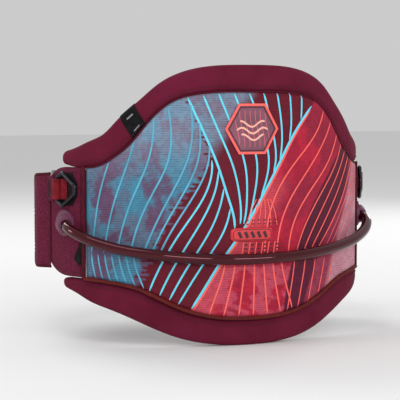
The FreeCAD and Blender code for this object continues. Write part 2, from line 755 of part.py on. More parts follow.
# ---------------------------------------------------------------- spreader bar
POST_BEARING = 144.0
post_point = on_oval(POST_BEARING, size("bar_standoff") + size("bar_thick") / 2)
LIP_X = -118.0
BAR_HALF_END = 37.0
BAR_HALF_MIDDLE = 21.0
bar_outline = [
    [(post_point.x, BAR_HALF_END), (96, BAR_HALF_END)],
    [(96, BAR_HALF_END), (78, 34), (60, 25.5), (42, BAR_HALF_MIDDLE)],
    [(42, BAR_HALF_MIDDLE), (-42, BAR_HALF_MIDDLE)],
    [(-42, BAR_HALF_MIDDLE), (-60, 25), (-80, 27), (-96, 26)],
    [(-96, 26), (LIP_X, 26)],
]
bar_lower = [[(b[0], -b[1]) for b in reversed(curve)] for curve in reversed(bar_outline)]


def bar_layer(near, far):
    """A tall curved wall in front of the belly, between two stand-offs."""
    return layer(far, near)


def slab(name, x_low, x_high):
    """A tall block in front of the belly that keeps a stretch of the bar between two places across it."""
    block = doc.addObject("Part::Box", name + "_slab")
    block.Length, block.Width, block.Height = x_high - x_low, 160, 120
    block.Placement.Base = Vec(x_low, -200, -60)
    return block


def rope_hole(side):
    """The drill of one rope hole, square to the bar where it stands."""
    bearing = side * ROPE_HOLE_BEARING
    return cylinder("rope_hole", "Sizes.rope_hole_radius", "0.5 * Sizes.prism_reach",
                    towards(on_oval(bearing, -20), outward(bearing)))


def screw_holes(clearance):
    """The drills of the hook plate's four screws."""
    return [cylinder("screw_hole", f"Sizes.screw_radius + {clearance}", "Sizes.prism_reach",
                     towards(Vec(x, -100, z), Vec(0, -1, 0))) for x in SCREW_X for z in SCREW_Z]


def cut_by(name, base, tools):
    """A shape less one or more tools."""
    tool = tools[0]
    if len(tools) > 1:
        tool = doc.addObject("Part::MultiFuse", name + "_cuts")
        tool.Shapes = tools
    made = doc.addObject("Part::Cut", name + "_cut")
    made.Base, made.Tool = base, tool
    return made


ROPE_HOLE_BEARING = 154.0
SCREW_X = (14, -14)
SCREW_Z = (12, -12)
BAR_SPLIT = 75.0
BAR_GAP = 0.1
BAR_OUTER = "Sizes.bar_standoff + Sizes.bar_thick"
bar_sheet = common("bar_sheet", bar_layer("Sizes.bar_standoff", BAR_OUTER),
                   outline("spreader_bar", bar_outline + bar_lower, BACK_PLANE, Vec(0, -1, 0)))


def spreader_bar():
    """The bar's curved middle, drilled for the hook plate's screws."""
    middle = common("bar_middle", bar_sheet, slab("bar_middle", BAR_GAP - BAR_SPLIT, BAR_SPLIT - BAR_GAP))
    return add_node("spreader_bar", cut_by("spreader_bar", middle, screw_holes(0.1)))


def bar_left_end():
    """The end with two strap windows and the round post that the left straps loop over."""
    place = FreeCAD.Placement(Vec(post_point.x, post_point.y, -size("post_half_height")), FreeCAD.Rotation())
    post = cylinder("bar_post", "Sizes.post_radius", "2 * Sizes.post_half_height", place)
    end = common("bar_left", bar_sheet, slab("bar_left", BAR_SPLIT, 140))
    windows = []
    for low in (2.5, -29.5):
        window = doc.addObject("Part::Box", "strap_window")
        window.Length, window.Width, window.Height = 10.7, 60, 27
        window.Placement.Base = Vec(post_point.x - 10.2, -120, low)
        windows.append(window)
    whole = doc.addObject("Part::Fuse", "bar_left_with_post")
    whole.Base, whole.Tool = cut_by("bar_left", end, windows + [rope_hole(1)]), post
    return add_node("bar_left_end", whole)


def bar_right_end():
    """The end whose lip turns in towards the body and hooks the catch frame."""
    lip_box = doc.addObject("Part::Box", "lip_box")
    lip_box.Length, lip_box.Width, lip_box.Height = 3.5, 40, 52
    lip_box.Placement.Base = Vec(LIP_X, -120, -26)
    lip = common("bar_lip", bar_layer("0.1 * Sizes.bar_standoff", BAR_OUTER), lip_box)
    whole = doc.addObject("Part::Fuse", "bar_right_with_lip")
    whole.Base, whole.Tool = common("bar_right", bar_sheet, slab("bar_right", LIP_X - 5, -BAR_SPLIT)), lip
    return add_node("bar_right_end", cut_by("bar_right", whole, [rope_hole(-1)]))


spreader_bar()
bar_left_end()
bar_right_end()

PLATE_FRONT = "Sizes.bar_standoff + Sizes.bar_thick + 0.1"


def hook_plate():
    """The curved plate that carries the hook, screwed to the bar."""
    block = outline("hook_plate", [[(-22, 14), (-17, 19)], [(17, 19), (22, 14)], [(22, -14), (17, -19)],
                                   [(-17, -19), (-22, -14)]], BACK_PLANE, Vec(0, -1, 0))
    blank = common("hook_plate", bar_layer(PLATE_FRONT, PLATE_FRONT + " + Sizes.hook_plate_thick"), block)
    plate = cut_by("hook_plate", blank, screw_holes(0.1))
    return add_node("hook_plate", plate)


hook_plate()
FRONT_FACE = -(size("half_depth") + size("bar_standoff") + size("bar_thick") + 0.1 + size("hook_plate_thick"))


def origin_plane(body, role):
    """One of a body's own origin planes."""
    return next(f for f in body.Origin.OriginFeatures if f.Role == role)


def body_sketch(body, name, role):
    """A sketch on one of the body's origin planes."""
    sketch = body.newObject("Sketcher::SketchObject", name)
    sketch.AttachmentSupport = [(origin_plane(body, role), "")]
    sketch.MapMode = "FlatFace"
    return sketch


def hook():
    """The forged hook: a round rod that leaves the plate forwards and turns down, open at the bottom."""
    body = doc.addObject("PartDesign::Body", "hook_body")
    spine = body_sketch(body, "hook_spine", "YZ_Plane")
    start, reach, top, bend, drop = FRONT_FACE - 0.1, 15.0, 10.0, 16.0, 24.0
    # From the plate forwards, a quarter turn down, a straight leg, and a short flick out at the tip.
    chain(spine, [(start, top), (start - reach, top)])
    quarter = Part.Circle(Vec(start - reach, top - bend, 0), Vec(0, 0, 1), bend)
    spine.addGeometry(Part.ArcOfCircle(quarter, radians(90), radians(180)))
    leg = start - reach - bend
    chain(spine, [(leg, top - bend), (leg, top - bend - drop)])
    flick = Part.Circle(Vec(leg - 12, top - bend - drop, 0), Vec(0, 0, 1), 12)
    spine.addGeometry(Part.ArcOfCircle(flick, radians(-40), radians(0)))
    profile = body_sketch(body, "hook_section", "XZ_Plane")
    profile.addGeometry(Part.Circle(Vec(0, top, 0), Vec(0, 0, 1), size("hook_rod")))
    n = profile.addConstraint(Sketcher.Constraint("Radius", 0, size("hook_rod")))
    profile.setExpression(f"Constraints[{n}]", "Sizes.hook_rod")
    profile.AttachmentOffset = FreeCAD.Placement(Vec(0, 0, -start), FreeCAD.Rotation())
    doc.recompute()
    pipe = body.newObject("PartDesign::AdditivePipe", "hook_pipe")
    pipe.Profile = profile
    pipe.Spine = (spine, ["Edge1", "Edge2", "Edge3", "Edge4"])
    doc.recompute()
    foot = doc.addObject("Part::Cone", "hook_foot")
    foot.setExpression("Radius1", "1.7 * Sizes.hook_rod")
    foot.setExpression("Radius2", "Sizes.hook_rod")
    foot.setExpression("Height", "1.2 * Sizes.hook_rod")
    foot.Placement = towards(Vec(0, start, top), Vec(0, -1, 0))
    made = doc.addObject("Part::Fuse", "hook_fused")
    made.Base, made.Tool = body, foot
    return add_node("hook", made)


hook()


def hook_screws():
    """Four cap screws with six-sided sockets, through the hook plate and the bar."""
    made = []
    for x in SCREW_X:
        face = on_oval(180 - degrees(x / BACK_RADIUS), 0).y - size("bar_standoff") - size("bar_thick")
        face -= 0.1 + size("hook_plate_thick")
        for z in SCREW_Z:
            shank = cylinder("screw_shank", "Sizes.screw_radius", "Sizes.hook_plate_thick + Sizes.bar_thick + 1",
                             towards(Vec(x, face + 7.0, z), Vec(0, -1, 0)))
            head = cylinder("screw_head", "Sizes.screw_head_radius", "Sizes.screw_head_height",
                            towards(Vec(x, face - 0.7, z), Vec(0, -1, 0)))
            socket = doc.addObject("Part::Prism", "screw_socket")
            socket.Polygon = 6
            socket.setExpression("Circumradius", "0.5 * Sizes.screw_head_radius")
            socket.setExpression("Height", "Sizes.screw_head_height")
            socket.Placement = towards(Vec(x, face - 0.7 - 0.45 * size("screw_head_height"), z), Vec(0, -1, 0))
            screw = doc.addObject("Part::Fuse", "screw")
            screw.Base, screw.Tool = shank, head
            made.append(cut_by("screw", screw, [socket]))
    group = doc.addObject("Part::Compound", "screws")
    group.Links = made
    return add_node("hook_screws", group)


hook_screws()


def bar_pad():
    """A soft pad behind the bar, against the belly."""
    curves = [[(-86, 24), (-40, 30), (40, 30), (86, 24)], [(86, 24), (86, -24)],
              [(86, -24), (40, -30), (-40, -30), (-86, -24)], [(-86, -24), (-86, 24)]]
    prism = outline("bar_pad", curves, BACK_PLANE, Vec(0, -1, 0))
    blank = common("bar_pad", bar_layer("0.15 * Sizes.bar_standoff", "Sizes.bar_standoff - 0.2"), prism)
    holes = []
    for bearing in (ROPE_HOLE_BEARING, -ROPE_HOLE_BEARING):
        place = towards(on_oval(bearing, -20), outward(bearing))
        holes.append(cylinder("pad_hole", "Sizes.rope_hole_radius + 1.5", "0.5 * Sizes.prism_reach", place))
    pad = cut_by("bar_pad", blank, holes + screw_holes(1))
    return add_node("bar_pad", pad)


bar_pad()

# ---------------------------------------------------------------- catch frame at the right end of the bar
FRAME_ROD = 2.5
CATCH_HALF = 33.0
catch_near = Vec(LIP_X + 3.5 + 1.6 + FRAME_ROD, 0, 0)
catch_far_bearing = -138.0
CATCH_STANDOFF = 8.6


def catch_frame():
    """A rectangle of round rod that hooks behind the bar's lip and carries the right-hand straps."""
    near_bearing = -180 + degrees(atan2(-catch_near.x, BACK_RADIUS))
    near = on_oval(near_bearing, CATCH_STANDOFF)
    far = on_oval(catch_far_bearing, CATCH_STANDOFF + 1.0)
    along = Vec(far - near)
    width = along.Length
    corners = [(0, -CATCH_HALF), (0, CATCH_HALF), (width, CATCH_HALF), (width, -CATCH_HALF)]
    feature = doc.addObject("Part::Feature", "catch_frame_shape")
    feature.Shape = rod_loop(corners, 3.0, FRAME_ROD)
    feature.Placement = plane_at(near, along)
    add_node("catch_frame", feature)
    return far


catch_far = catch_frame()

# ---------------------------------------------------------------- straps and cam buckles
BUCKLE_BEARING = 127.0
BUCKLE_BASE = 2.6  # stand-off of the frame's underside
FRAME_FLOOR = 1.8
STRAP_RISE = FRAME_FLOOR + 0.5 + size("strap_thick") / 2  # the strap's middle above the frame's underside
PIN_AT = (4.0, 8.3)  # along the strap towards the bar, and above the frame's underside
TAIL_END = 96.0
TAIL_LEVEL = 5.4
ANCHOR_SPAN = (97.0, 134.0)


def buckle_place(side, level):
    """Where a buckle stands: X along the strap towards the bar, Y outwards from the wing."""
    bearing = side * BUCKLE_BEARING
    normal = outward(bearing)
    along = Vec(cos(radians(bearing)), -sin(radians(bearing)), 0) * side
    origin = on_oval(bearing, BUCKLE_BASE, level)
    return FreeCAD.Placement(origin, FreeCAD.Rotation(along, normal, along.cross(normal), "ZXY"))


def strap_line(side, post):
    """The strap's centreline in plan, from the bar through the buckle to its tail, for one side."""
    place = buckle_place(side, 0)
    inside = [place.multVec(Vec(u, STRAP_RISE, 0)) for u in (12.0, 4.0, -5.0, -14.5)]
    tail = [on_oval(side * b, TAIL_LEVEL + lift) for b, lift in ((112.5, 0.5), (106.0, 0.1), (TAIL_END, 0.0))]
    return [post] + inside + tail


def ribbon(sketch, points, half):
    """Adds the closed plan of a strip: a smooth line through the points, thickened by half to each side."""
    run = Part.BSplineCurve()
    run.interpolate(points)
    left, right = [], []
    steps = 4 * len(points)
    for i in range(steps + 1):
        t = run.FirstParameter + (run.LastParameter - run.FirstParameter) * i / steps
        at, heading = run.value(t), run.tangent(t)[0]
        across = Vec(-heading.y, heading.x, 0) * half
        left.append((at.x + across.x, at.y + across.y))
        right.append((at.x - across.x, at.y - across.y))
    spline(sketch, left)
    chain(sketch, [left[-1], right[-1]])
    spline(sketch, list(reversed(right)))
    chain(sketch, [right[0], left[0]])


def strap(name, side, level, post, rod):
    """A webbing strap, sewn in a loop round a rod and run through its cam buckle."""
    middle = strap_line(side, post)
    body = doc.addObject("PartDesign::Body", name + "_body")
    flat = body_sketch(body, name + "_run", "XY_Plane")
    start = post + (middle[1] - post).normalize() * (rod + 1.0)
    ribbon(flat, [start] + middle[1:], size("strap_thick") / 2)
    pad = body.newObject("PartDesign::Pad", name + "_pad")
    pad.Profile = flat
    pad.setExpression("Length", "Sizes.strap_width")
    loop = body_sketch(body, name + "_loop", "XY_Plane")
    for radius in (rod + 0.3 + size("strap_thick"), rod + 0.3):
        loop.addGeometry(Part.Circle(Vec(post.x, post.y, 0), Vec(0, 0, 1), radius))
    doc.recompute()
    eye = body.newObject("PartDesign::Pad", name + "_eye")
    eye.Profile = loop
    eye.setExpression("Length", "Sizes.strap_width")
    body.Placement = FreeCAD.Placement(Vec(0, 0, level - size("strap_width") / 2), FreeCAD.Rotation())
    return add_node(name, body)


def buckle_frame(name, side, level):
    """A cam buckle's frame: a floor and two cheeks, drilled for the pin."""
    body = doc.addObject("PartDesign::Body", name + "_body")
    section = body_sketch(body, name + "_section", "YZ_Plane")
    half, cheek, tall = size("frame_width") / 2, size("cheek_thick"), size("cheek_height") + 2
    points = [(0, -half), (tall, -half), (tall, -half + cheek), (FRAME_FLOOR, -half + cheek),
              (FRAME_FLOOR, half - cheek), (tall, half - cheek), (tall, half), (0, half)]
    chain(section, points, closed=True)
    pad = body.newObject("PartDesign::Pad", name + "_pad")
    pad.Profile = section
    pad.Midplane = True
    pad.setExpression("Length", "Sizes.frame_length")
    doc.recompute()
    side_cut = body_sketch(body, name + "_cheeks", "XY_Plane")
    reach = size("frame_length") / 2 + 1
    chain(side_cut, [(-reach, 4.0), (-3.5, tall + 1), (-reach, tall + 1)], closed=True)
    chain(side_cut, [(reach, 4.0), (reach, tall + 1), (9.0, tall + 1)], closed=True)
    side_cut.addGeometry(Part.Circle(Vec(*PIN_AT, 0), Vec(0, 0, 1), size("pin_radius")))
    pocket = body.newObject("PartDesign::Pocket", name + "_cut")
    pocket.Profile = side_cut
    pocket.Type = "ThroughAll"
    pocket.Midplane = True
    body.Placement = buckle_place(side, level)
    return add_node(name, body)


def lever(name, side, level):
    """A cam lever: an eccentric nose on the pin and a long tab to lift."""
    body = doc.addObject("PartDesign::Body", name + "_body")
    plan = body_sketch(body, name + "_plan", "XY_Plane")
    px, py = PIN_AT
    spline(plan, [(px + 3.0, py + 1.6), (px + 3.3, py - 1.2), (px + 1.4, py - 3.1), (px - 1.4, py - 3.2),
                  (px - 4.4, py - 2.2), (px - 10.0, py - 2.2), (px - 17.0, py - 2.6), (px - 24.0, py - 4.0)])
    chain(plan, [(px - 24.0, py - 4.0), (px - 24.6, py - 1.8)])
    spline(plan, [(px - 24.6, py - 1.8), (px - 17.0, py - 0.2), (px - 9.0, py + 0.9), (px - 3.0, py + 2.6),
                  (px + 0.6, py + 3.2), (px + 3.0, py + 1.6)])
    plan.addGeometry(Part.Circle(Vec(px, py, 0), Vec(0, 0, 1), size("pin_radius") + 0.06))
    pad = body.newObject("PartDesign::Pad", name + "_pad")
    pad.Profile = plan
    pad.Midplane = True
    pad.setExpression("Length", "Sizes.lever_width")
    body.Placement = buckle_place(side, level)
    return add_node(name, body)


pins = []
for side_name, side, anchor_rod, rod_radius in (("left", 1, post_point, size("post_radius")),
                                                ("right", -1, catch_far, FRAME_ROD)):
    for row_name, level in (("upper", size("strap_height")), ("lower", -size("strap_height"))):
        key = f"{row_name}_{side_name}"
        strap(f"{key}_strap", side, level, Vec(anchor_rod.x, anchor_rod.y, 0), rod_radius)
        buckle_frame(f"{key}_buckle_frame", side, level)
        lever(f"{key}_cam_lever", side, level)
        place = buckle_place(side, level)
        foot = place.multVec(Vec(*PIN_AT, -size("frame_width") / 2))
        up_end = place.multVec(Vec(*PIN_AT, size("frame_width") / 2))
        along_pin = towards(foot, up_end - foot)
        pins.append(cylinder("cam_pin", "Sizes.pin_radius - 0.02", "Sizes.frame_width", along_pin))
pin_group = doc.addObject("Part::Compound", "pins")
pin_group.Links = pins
add_node("cam_pins", pin_group)


def anchor_straps():
    """Two short webbings sewn along the left wing, which hold the buckle frames."""
    made = []
    for level in (size("strap_height"), -size("strap_height")):
        low, high = level - size("strap_width") / 2, level + size("strap_width") / 2
        box = outline("anchor", [[(40, high), (-90, high)], [(-90, low), (40, low)]],
                      SIDE_PLANE, Vec(1, 0, 0))
        made.append(common("anchor", layer("2.2 * Sizes.hem_outer", "0.1 * Sizes.hem_outer"), box,
                           side_sector("anchor", *ANCHOR_SPAN)))
    group = doc.addObject("Part::Compound", "anchors")
    group.Links = made
    return group


left_anchors = add_node("left_anchor_straps", anchor_straps())
add_node("right_anchor_straps", mirrored("right_anchor_straps", left_anchors))


def strap_keepers():
    """Elastic loops that hold the strap tails to the left wing."""
    made = []
    for level in (size("strap_height"), -size("strap_height")):
        half = size("strap_width") / 2
        ring = outline("keeper", [[(40, level + half + 1.6), (-90, level + half + 1.6)],
                                  [(-90, level - half - 1.6), (40, level - half - 1.6)]],
                       SIDE_PLANE, Vec(1, 0, 0))
        hollow = outline("keeper_hole", [[(40, level + half + 0.4), (-90, level + half + 0.4)],
                                         [(-90, level - half - 0.4), (40, level - half - 0.4)]],
                         SIDE_PLANE, Vec(1, 0, 0))
        sector = side_sector("keeper", 101, 107)
        around = layer("7.8 * Sizes.hem_outer", "2.4 * Sizes.hem_outer")
        sleeve = common("keeper_sleeve", around, ring, sector)
        gap = common("keeper_gap", layer("6.7 * Sizes.hem_outer", "3.3 * Sizes.hem_outer"), hollow)
        loop = doc.addObject("Part::Cut", "keeper_loop")
        loop.Base, loop.Tool = sleeve, gap
        made.append(loop)
    group = doc.addObject("Part::Compound", "keepers")
    group.Links = made
    return group


left_keepers = add_node("left_strap_keepers", strap_keepers())
add_node("right_strap_keepers", mirrored("right_strap_keepers", left_keepers))

# ---------------------------------------------------------------- hip flaps over the strap tails
# The flap's middle in plan, as (bearing, stand-off): flat where it is sewn to the wing, then over the keepers.
FLAP_LINE = [(86.5, 1.0), (89.0, 1.1), (92.0, 4.6), (95.5, 8.3), (99.0, 8.9), (105.5, 8.9), (112.5, 8.9)]
FLAP_REACH = 60.0


def hip_flap():
    """A cloth flap sewn to the left wing behind the strap tails, which covers them and their keepers."""
    body = doc.addObject("PartDesign::Body", "flap_body")
    plan = body_sketch(body, "flap_plan", "XY_Plane")
    ribbon(plan, [on_oval(b, h) for b, h in FLAP_LINE], size("flap_thick") / 2)
    pad = body.newObject("PartDesign::Pad", "flap_pad")
    pad.Profile = plan
    pad.Midplane = True
    pad.Length = 2 * FLAP_REACH
    front = -38.4
    shape = outline("flap", [
        [(8, 39.5), (-10, 37.8), (-20, 36.4), (-28, 33.6), (-34, 29.2), (-37.4, 23.8), (front, 19)],
        [(front, 19), (front, -29)],
        [(front, -29), (-37.4, -34.4), (-34, -40.2), (-28, -45), (-20, -47.4), (-10, -48.2), (8, -47.4)],
    ], SIDE_PLANE, Vec(1, 0, 0))
    return common("flap", body, shape)


left_flap = add_node("left_hip_flap", hip_flap())
add_node("right_hip_flap", mirrored("right_hip_flap", left_flap))

# ---------------------------------------------------------------- build, check and write
doc.recompute()
bad = [f"{o.Name} ({o.Label}): {o.State}" for o in doc.Objects if {"Invalid", "Error"} & set(o.State)]
for name, feature in nodes.items():
    shape = feature.Shape
    if shape.isNull() or not shape.isValid() or not shape.Solids:
        bad.append(f"{name}: shape is empty or not valid")
if bad:
    raise SystemExit("failed objects:\n" + "\n".join(bad))

os.makedirs("parts", exist_ok=True)
for name, feature in nodes.items():
    feature.Shape.exportStep(f"parts/{name}.step")
    box = feature.Shape.BoundBox
    print(f"{name}: {len(feature.Shape.Solids)} solid(s), {feature.Shape.Volume:.0f} mm3, "
          f"x {box.XMin:.1f}..{box.XMax:.1f} y {box.YMin:.1f}..{box.YMax:.1f} z {box.ZMin:.1f}..{box.ZMax:.1f}")
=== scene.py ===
"""Looks of a waist harness, in metres in the CAD frame: the back is at +Y and the wearer's left is +X."""
import json
import math

import bpy
import numpy as np
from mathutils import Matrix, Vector

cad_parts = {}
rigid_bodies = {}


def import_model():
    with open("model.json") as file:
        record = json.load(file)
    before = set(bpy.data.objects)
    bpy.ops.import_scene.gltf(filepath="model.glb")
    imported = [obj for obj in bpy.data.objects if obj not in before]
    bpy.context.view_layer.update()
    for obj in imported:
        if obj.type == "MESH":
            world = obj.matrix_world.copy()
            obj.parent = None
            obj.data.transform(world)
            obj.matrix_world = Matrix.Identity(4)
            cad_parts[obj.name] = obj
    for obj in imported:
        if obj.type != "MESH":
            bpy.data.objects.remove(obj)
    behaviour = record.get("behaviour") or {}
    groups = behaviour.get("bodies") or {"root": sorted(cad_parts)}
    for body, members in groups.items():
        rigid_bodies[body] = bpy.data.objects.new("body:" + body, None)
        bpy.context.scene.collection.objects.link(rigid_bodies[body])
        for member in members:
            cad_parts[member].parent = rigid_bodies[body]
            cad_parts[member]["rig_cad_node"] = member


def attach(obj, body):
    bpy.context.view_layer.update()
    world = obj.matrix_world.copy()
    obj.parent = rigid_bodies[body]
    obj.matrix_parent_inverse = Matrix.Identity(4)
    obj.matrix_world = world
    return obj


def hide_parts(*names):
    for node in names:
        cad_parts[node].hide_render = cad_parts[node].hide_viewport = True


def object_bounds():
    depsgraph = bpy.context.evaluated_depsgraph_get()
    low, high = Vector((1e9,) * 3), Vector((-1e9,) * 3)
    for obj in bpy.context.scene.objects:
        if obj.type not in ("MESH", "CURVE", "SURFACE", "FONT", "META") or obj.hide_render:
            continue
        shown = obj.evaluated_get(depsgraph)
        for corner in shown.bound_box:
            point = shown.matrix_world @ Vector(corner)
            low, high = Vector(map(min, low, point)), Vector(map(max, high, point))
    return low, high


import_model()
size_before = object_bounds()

MM = 0.001
ROOT = "harness"
SIDES = (("left", 1), ("right", -1))
ROWS = (("upper", 1), ("lower", -1))

# ---------------------------------------------------------------- the waist oval, as in the CAD
HALF_WIDTH, HALF_DEPTH, SIDE_RADIUS = 0.156, 0.116, 0.095
SIDE_X = HALF_WIDTH - SIDE_RADIUS
BACK_RISE = HALF_DEPTH - SIDE_RADIUS
BACK_Y = (SIDE_X ** 2 - BACK_RISE ** 2) / (2 * BACK_RISE)
BACK_RADIUS = HALF_DEPTH + BACK_Y
TURN = math.atan2(SIDE_X, BACK_Y)
BACK_ARC = BACK_RADIUS * TURN


def normal(bearing):
    """Outward normals at bearings in degrees, counted from straight back towards the wearer's left."""
    b = np.radians(np.asarray(bearing, float))
    return np.stack([np.sin(b), np.cos(b), np.zeros_like(b)], -1)


def at(bearing, z, h=0.0):
    """Points at bearings in degrees, heights and stand-offs from the oval, in metres."""
    bearing, z, h = np.broadcast_arrays(np.asarray(bearing, float), z, h)
    n = normal(bearing)
    back = n[..., 1] >= math.cos(TURN)
    front = n[..., 1] <= -math.cos(TURN)
    radius = np.where(back | front, BACK_RADIUS, SIDE_RADIUS) + h
    cx = np.where(back | front, 0.0, np.sign(n[..., 0]) * SIDE_X)
    cy = np.where(back, -BACK_Y, np.where(front, BACK_Y, 0.0))
    return np.stack([cx + n[..., 0] * radius, cy + n[..., 1] * radius, z + 0 * radius], -1)


def bearing_of(s):
    """Bearing in degrees of a place that is s metres along the oval from the middle of the back."""
    s = np.asarray(s, float)
    side = TURN + (np.abs(s) - BACK_ARC) / SIDE_RADIUS
    return np.degrees(np.sign(s) * np.where(np.abs(s) <= BACK_ARC, np.abs(s) / BACK_RADIUS, side))


def arc_of(bearing):
    """How far along the oval a bearing lies, in metres."""
    b = np.radians(np.asarray(bearing, float))
    side = BACK_ARC + (np.abs(b) - TURN) * SIDE_RADIUS
    return np.sign(b) * np.where(np.abs(b) <= TURN, np.abs(b) * BACK_RADIUS, side)


def smooth(xs, ys):
    """A natural cubic through points, as a function."""
    xs, ys = np.asarray(xs, float), np.asarray(ys, float)
    n, step = len(xs), np.diff(xs)
    a, r = np.eye(n), np.zeros(n)
    for i in range(1, n - 1):
        a[i, i - 1:i + 2] = step[i - 1], 2 * (step[i - 1] + step[i]), step[i]
        r[i] = 6 * ((ys[i + 1] - ys[i]) / step[i] - (ys[i] - ys[i - 1]) / step[i - 1])
    m = np.linalg.solve(a, r)

    def value(x):
        i = np.clip(np.searchsorted(xs, x) - 1, 0, n - 2)
        l, q, w = xs[i + 1] - x, x - xs[i], xs[i + 1] - xs[i]
        cubic = (m[i] * l ** 3 + m[i + 1] * q ** 3) / (6 * w)
        return cubic + (ys[i] / w - m[i] * w / 6) * l + (ys[i + 1] / w - m[i + 1] * w / 6) * q

    return value


def edge(points):
    """A symmetric edge of the back: height for arc length, from its left half in degrees and millimetres."""
    s = [float(arc_of(b)) for b, _ in points]
    z = [v * MM for _, v in points]
    return smooth([-v for v in reversed(s[1:])] + s, list(reversed(z[1:])) + z)


TOP_LINE = [(0, 116), (16, 113.5), (23, 105), (28, 90), (33, 70), (38, 56.5), (46, 49.5), (56, 47)]
BOTTOM_LINE = [(0, -90.5), (12, -87.5), (20, -79.5), (26, -70), (32, -61.5), (38, -57.5)]
PANEL_TOP = edge(TOP_LINE + [(62, 46.8)])
PANEL_BOTTOM = edge(BOTTOM_LINE + [(56, -55), (62, -55)])
PANEL_SIDE = float(arc_of(55.2))


def inside_panel(across, z):
    """How far a place on the back panel lies inside its nearest edge, in metres."""
    inside = np.minimum(PANEL_TOP(across) - z, z - PANEL_BOTTOM(across))
    return np.minimum(inside, PANEL_SIDE - np.abs(across))


def panel_grid(rows, cols):
    """Places that fill the back panel, as (across, height)."""
    across = np.linspace(-PANEL_SIDE, PANEL_SIDE, cols)[None] + np.zeros((rows, 1))
    low, high = PANEL_BOTTOM(across), PANEL_TOP(across)
    return across, low + (high - low) * np.linspace(0, 1, rows)[:, None]


# ---------------------------------------------------------------- meshes


def mesh(name, verts, faces, material, uv=None, body=ROOT):
    """A mesh piece that rides on a body."""
    data = bpy.data.meshes.new(name)
    data.from_pydata([tuple(v) for v in np.asarray(verts).reshape(-1, 3)], [], [tuple(f) for f in faces])
    if uv is not None:
        layer = data.uv_layers.new(name="UVMap")
        index = np.zeros(len(data.loops), int)
        data.loops.foreach_get("vertex_index", index)
        layer.data.foreach_set("uv", np.asarray(uv, float).reshape(-1, 2)[index].ravel())
    data.polygons.foreach_set("use_smooth", [True] * len(data.polygons))
    data.update()
    obj = bpy.data.objects.new(name, data)
    bpy.context.scene.collection.objects.link(obj)
    data.materials.append(material)
    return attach(obj, body)


def stand_in(obj, slot, *nodes, fill=None):
    """A piece, with the CAD nodes that it replaces, which are hidden. The material slot is not used, nor is the
    fill of a padded piece.
    """
    if nodes:
        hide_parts(*nodes)
    return obj


def units(vectors):
    """The same directions, one unit long."""
    return vectors / np.linalg.norm(vectors, axis=1)[:, None]


def grid_faces(rows, cols, offset=0, flip=False):
    """Quads of a rows by cols sheet of vertices."""
    i, j = np.meshgrid(np.arange(rows - 1), np.arange(cols - 1), indexing="ij")
    a = (i * cols + j + offset).ravel()
    quad = np.stack([a, a + 1, a + cols + 1, a + cols], -1)
    return (quad[:, ::-1] if flip else quad).tolist()


def lengths(points):
    """Running length along a line of points."""
    return np.concatenate([[0], np.cumsum(np.linalg.norm(np.diff(points, axis=0), axis=1))])


def squircle(count, power):
    """A closed rounded-box section as (across, out) from -1 to 1, starting at the inner side."""
    phi = np.linspace(-math.pi / 2, 1.5 * math.pi, count + 1)
    c, s = np.cos(phi), np.sin(phi)
    return np.sign(c) * np.abs(c) ** (2 / power), np.sign(s) * np.abs(s) ** (2 / power)


def loft(name, rings, material, body=ROOT):
    """A closed skin over rings of points; each ring's first point is repeated as its last."""
    rings = np.asarray(rings)
    rows, cols = rings.shape[:2]
    along = lengths(rings[:, cols // 4])
    across = np.array([lengths(r) for r in rings])
    uv = np.stack([np.repeat(along[:, None], cols, 1), across], -1)
    faces = grid_faces(rows, cols)
    faces.append(list(range(cols - 1)))
    faces.append([(rows - 1) * cols + k for k in reversed(range(cols - 1))])
    return mesh(name, rings, faces, material, uv, body=body)


def slab(name, outer, inner, material, uv):
    """A closed sheet between two grids of points, with the same map on both faces."""
    rows, cols = outer.shape[:2]
    n = rows * cols
    faces = grid_faces(rows, cols) + grid_faces(rows, cols, n, True)
    rim = list(range(cols)) + [i * cols + cols - 1 for i in range(1, rows)]
    rim += [(rows - 1) * cols + j for j in reversed(range(cols - 1))]
    rim += [i * cols for i in reversed(range(1, rows - 1))]
    faces += [(b, a, a + n, b + n) for a, b in zip(rim, rim[1:] + rim[:1])]
    uv = np.asarray(uv).reshape(-1, 2)
    points = np.concatenate([outer.reshape(-1, 3), inner.reshape(-1, 3)])
    return mesh(name, points, faces, material, np.concatenate([uv, uv]))


def bolster(name, bearings, low, high, middle, fat, material, power, body=ROOT):
    """A soft band round the oval between two heights; middle is its stand-off and fat half its thickness."""
    a, o = squircle(44, power)
    low, high, middle, fat = [np.broadcast_to(v, np.shape(bearings))[:, None] for v in (low, high, middle,
                                                                                        fat)]
    z = (low + high) / 2 + (high - low) / 2 * a
    h = middle + fat * o
    rings = at(np.repeat(np.asarray(bearings)[:, None], len(a), 1), z, h)
    return loft(name, rings, material, body)


def ends(start, stop, count, crowding):
    """Stations from start to stop that crowd together near both ends, and the share of the way at each."""
    t = np.linspace(0, 1, count)
    t = t - crowding * np.sin(2 * math.pi * t)
    return start + (stop - start) * t, t


def pinch(t, share):
    """1 in the middle and 0 at both ends, round like a half circle over a share of the length."""
    d = np.clip(np.minimum(t, 1 - t) / share, 0, 1)
    return np.sqrt(np.clip(1 - (1 - d) ** 2, 0, 1))


def sweep(name, path, out, width, thick, material, power=5.0, body=ROOT, closed=False, count=28):
    """A strap: a flat rounded section carried along a path, its thin side along out."""
    path, out = np.asarray(path, float), np.asarray(out, float)
    tangent = np.gradient(path, axis=0)
    if closed:
        tangent[0] = tangent[-1] = path[1] - path[-2]
    tangent = units(tangent)
    side = units(np.cross(tangent, out))
    up = np.cross(side, tangent)
    a, o = squircle(count, power)
    across, raised = (a * width / 2)[None, :, None], (o * thick / 2)[None, :, None]
    return loft(name, path[:, None] + side[:, None] * across + up[:, None] * raised, material, body)


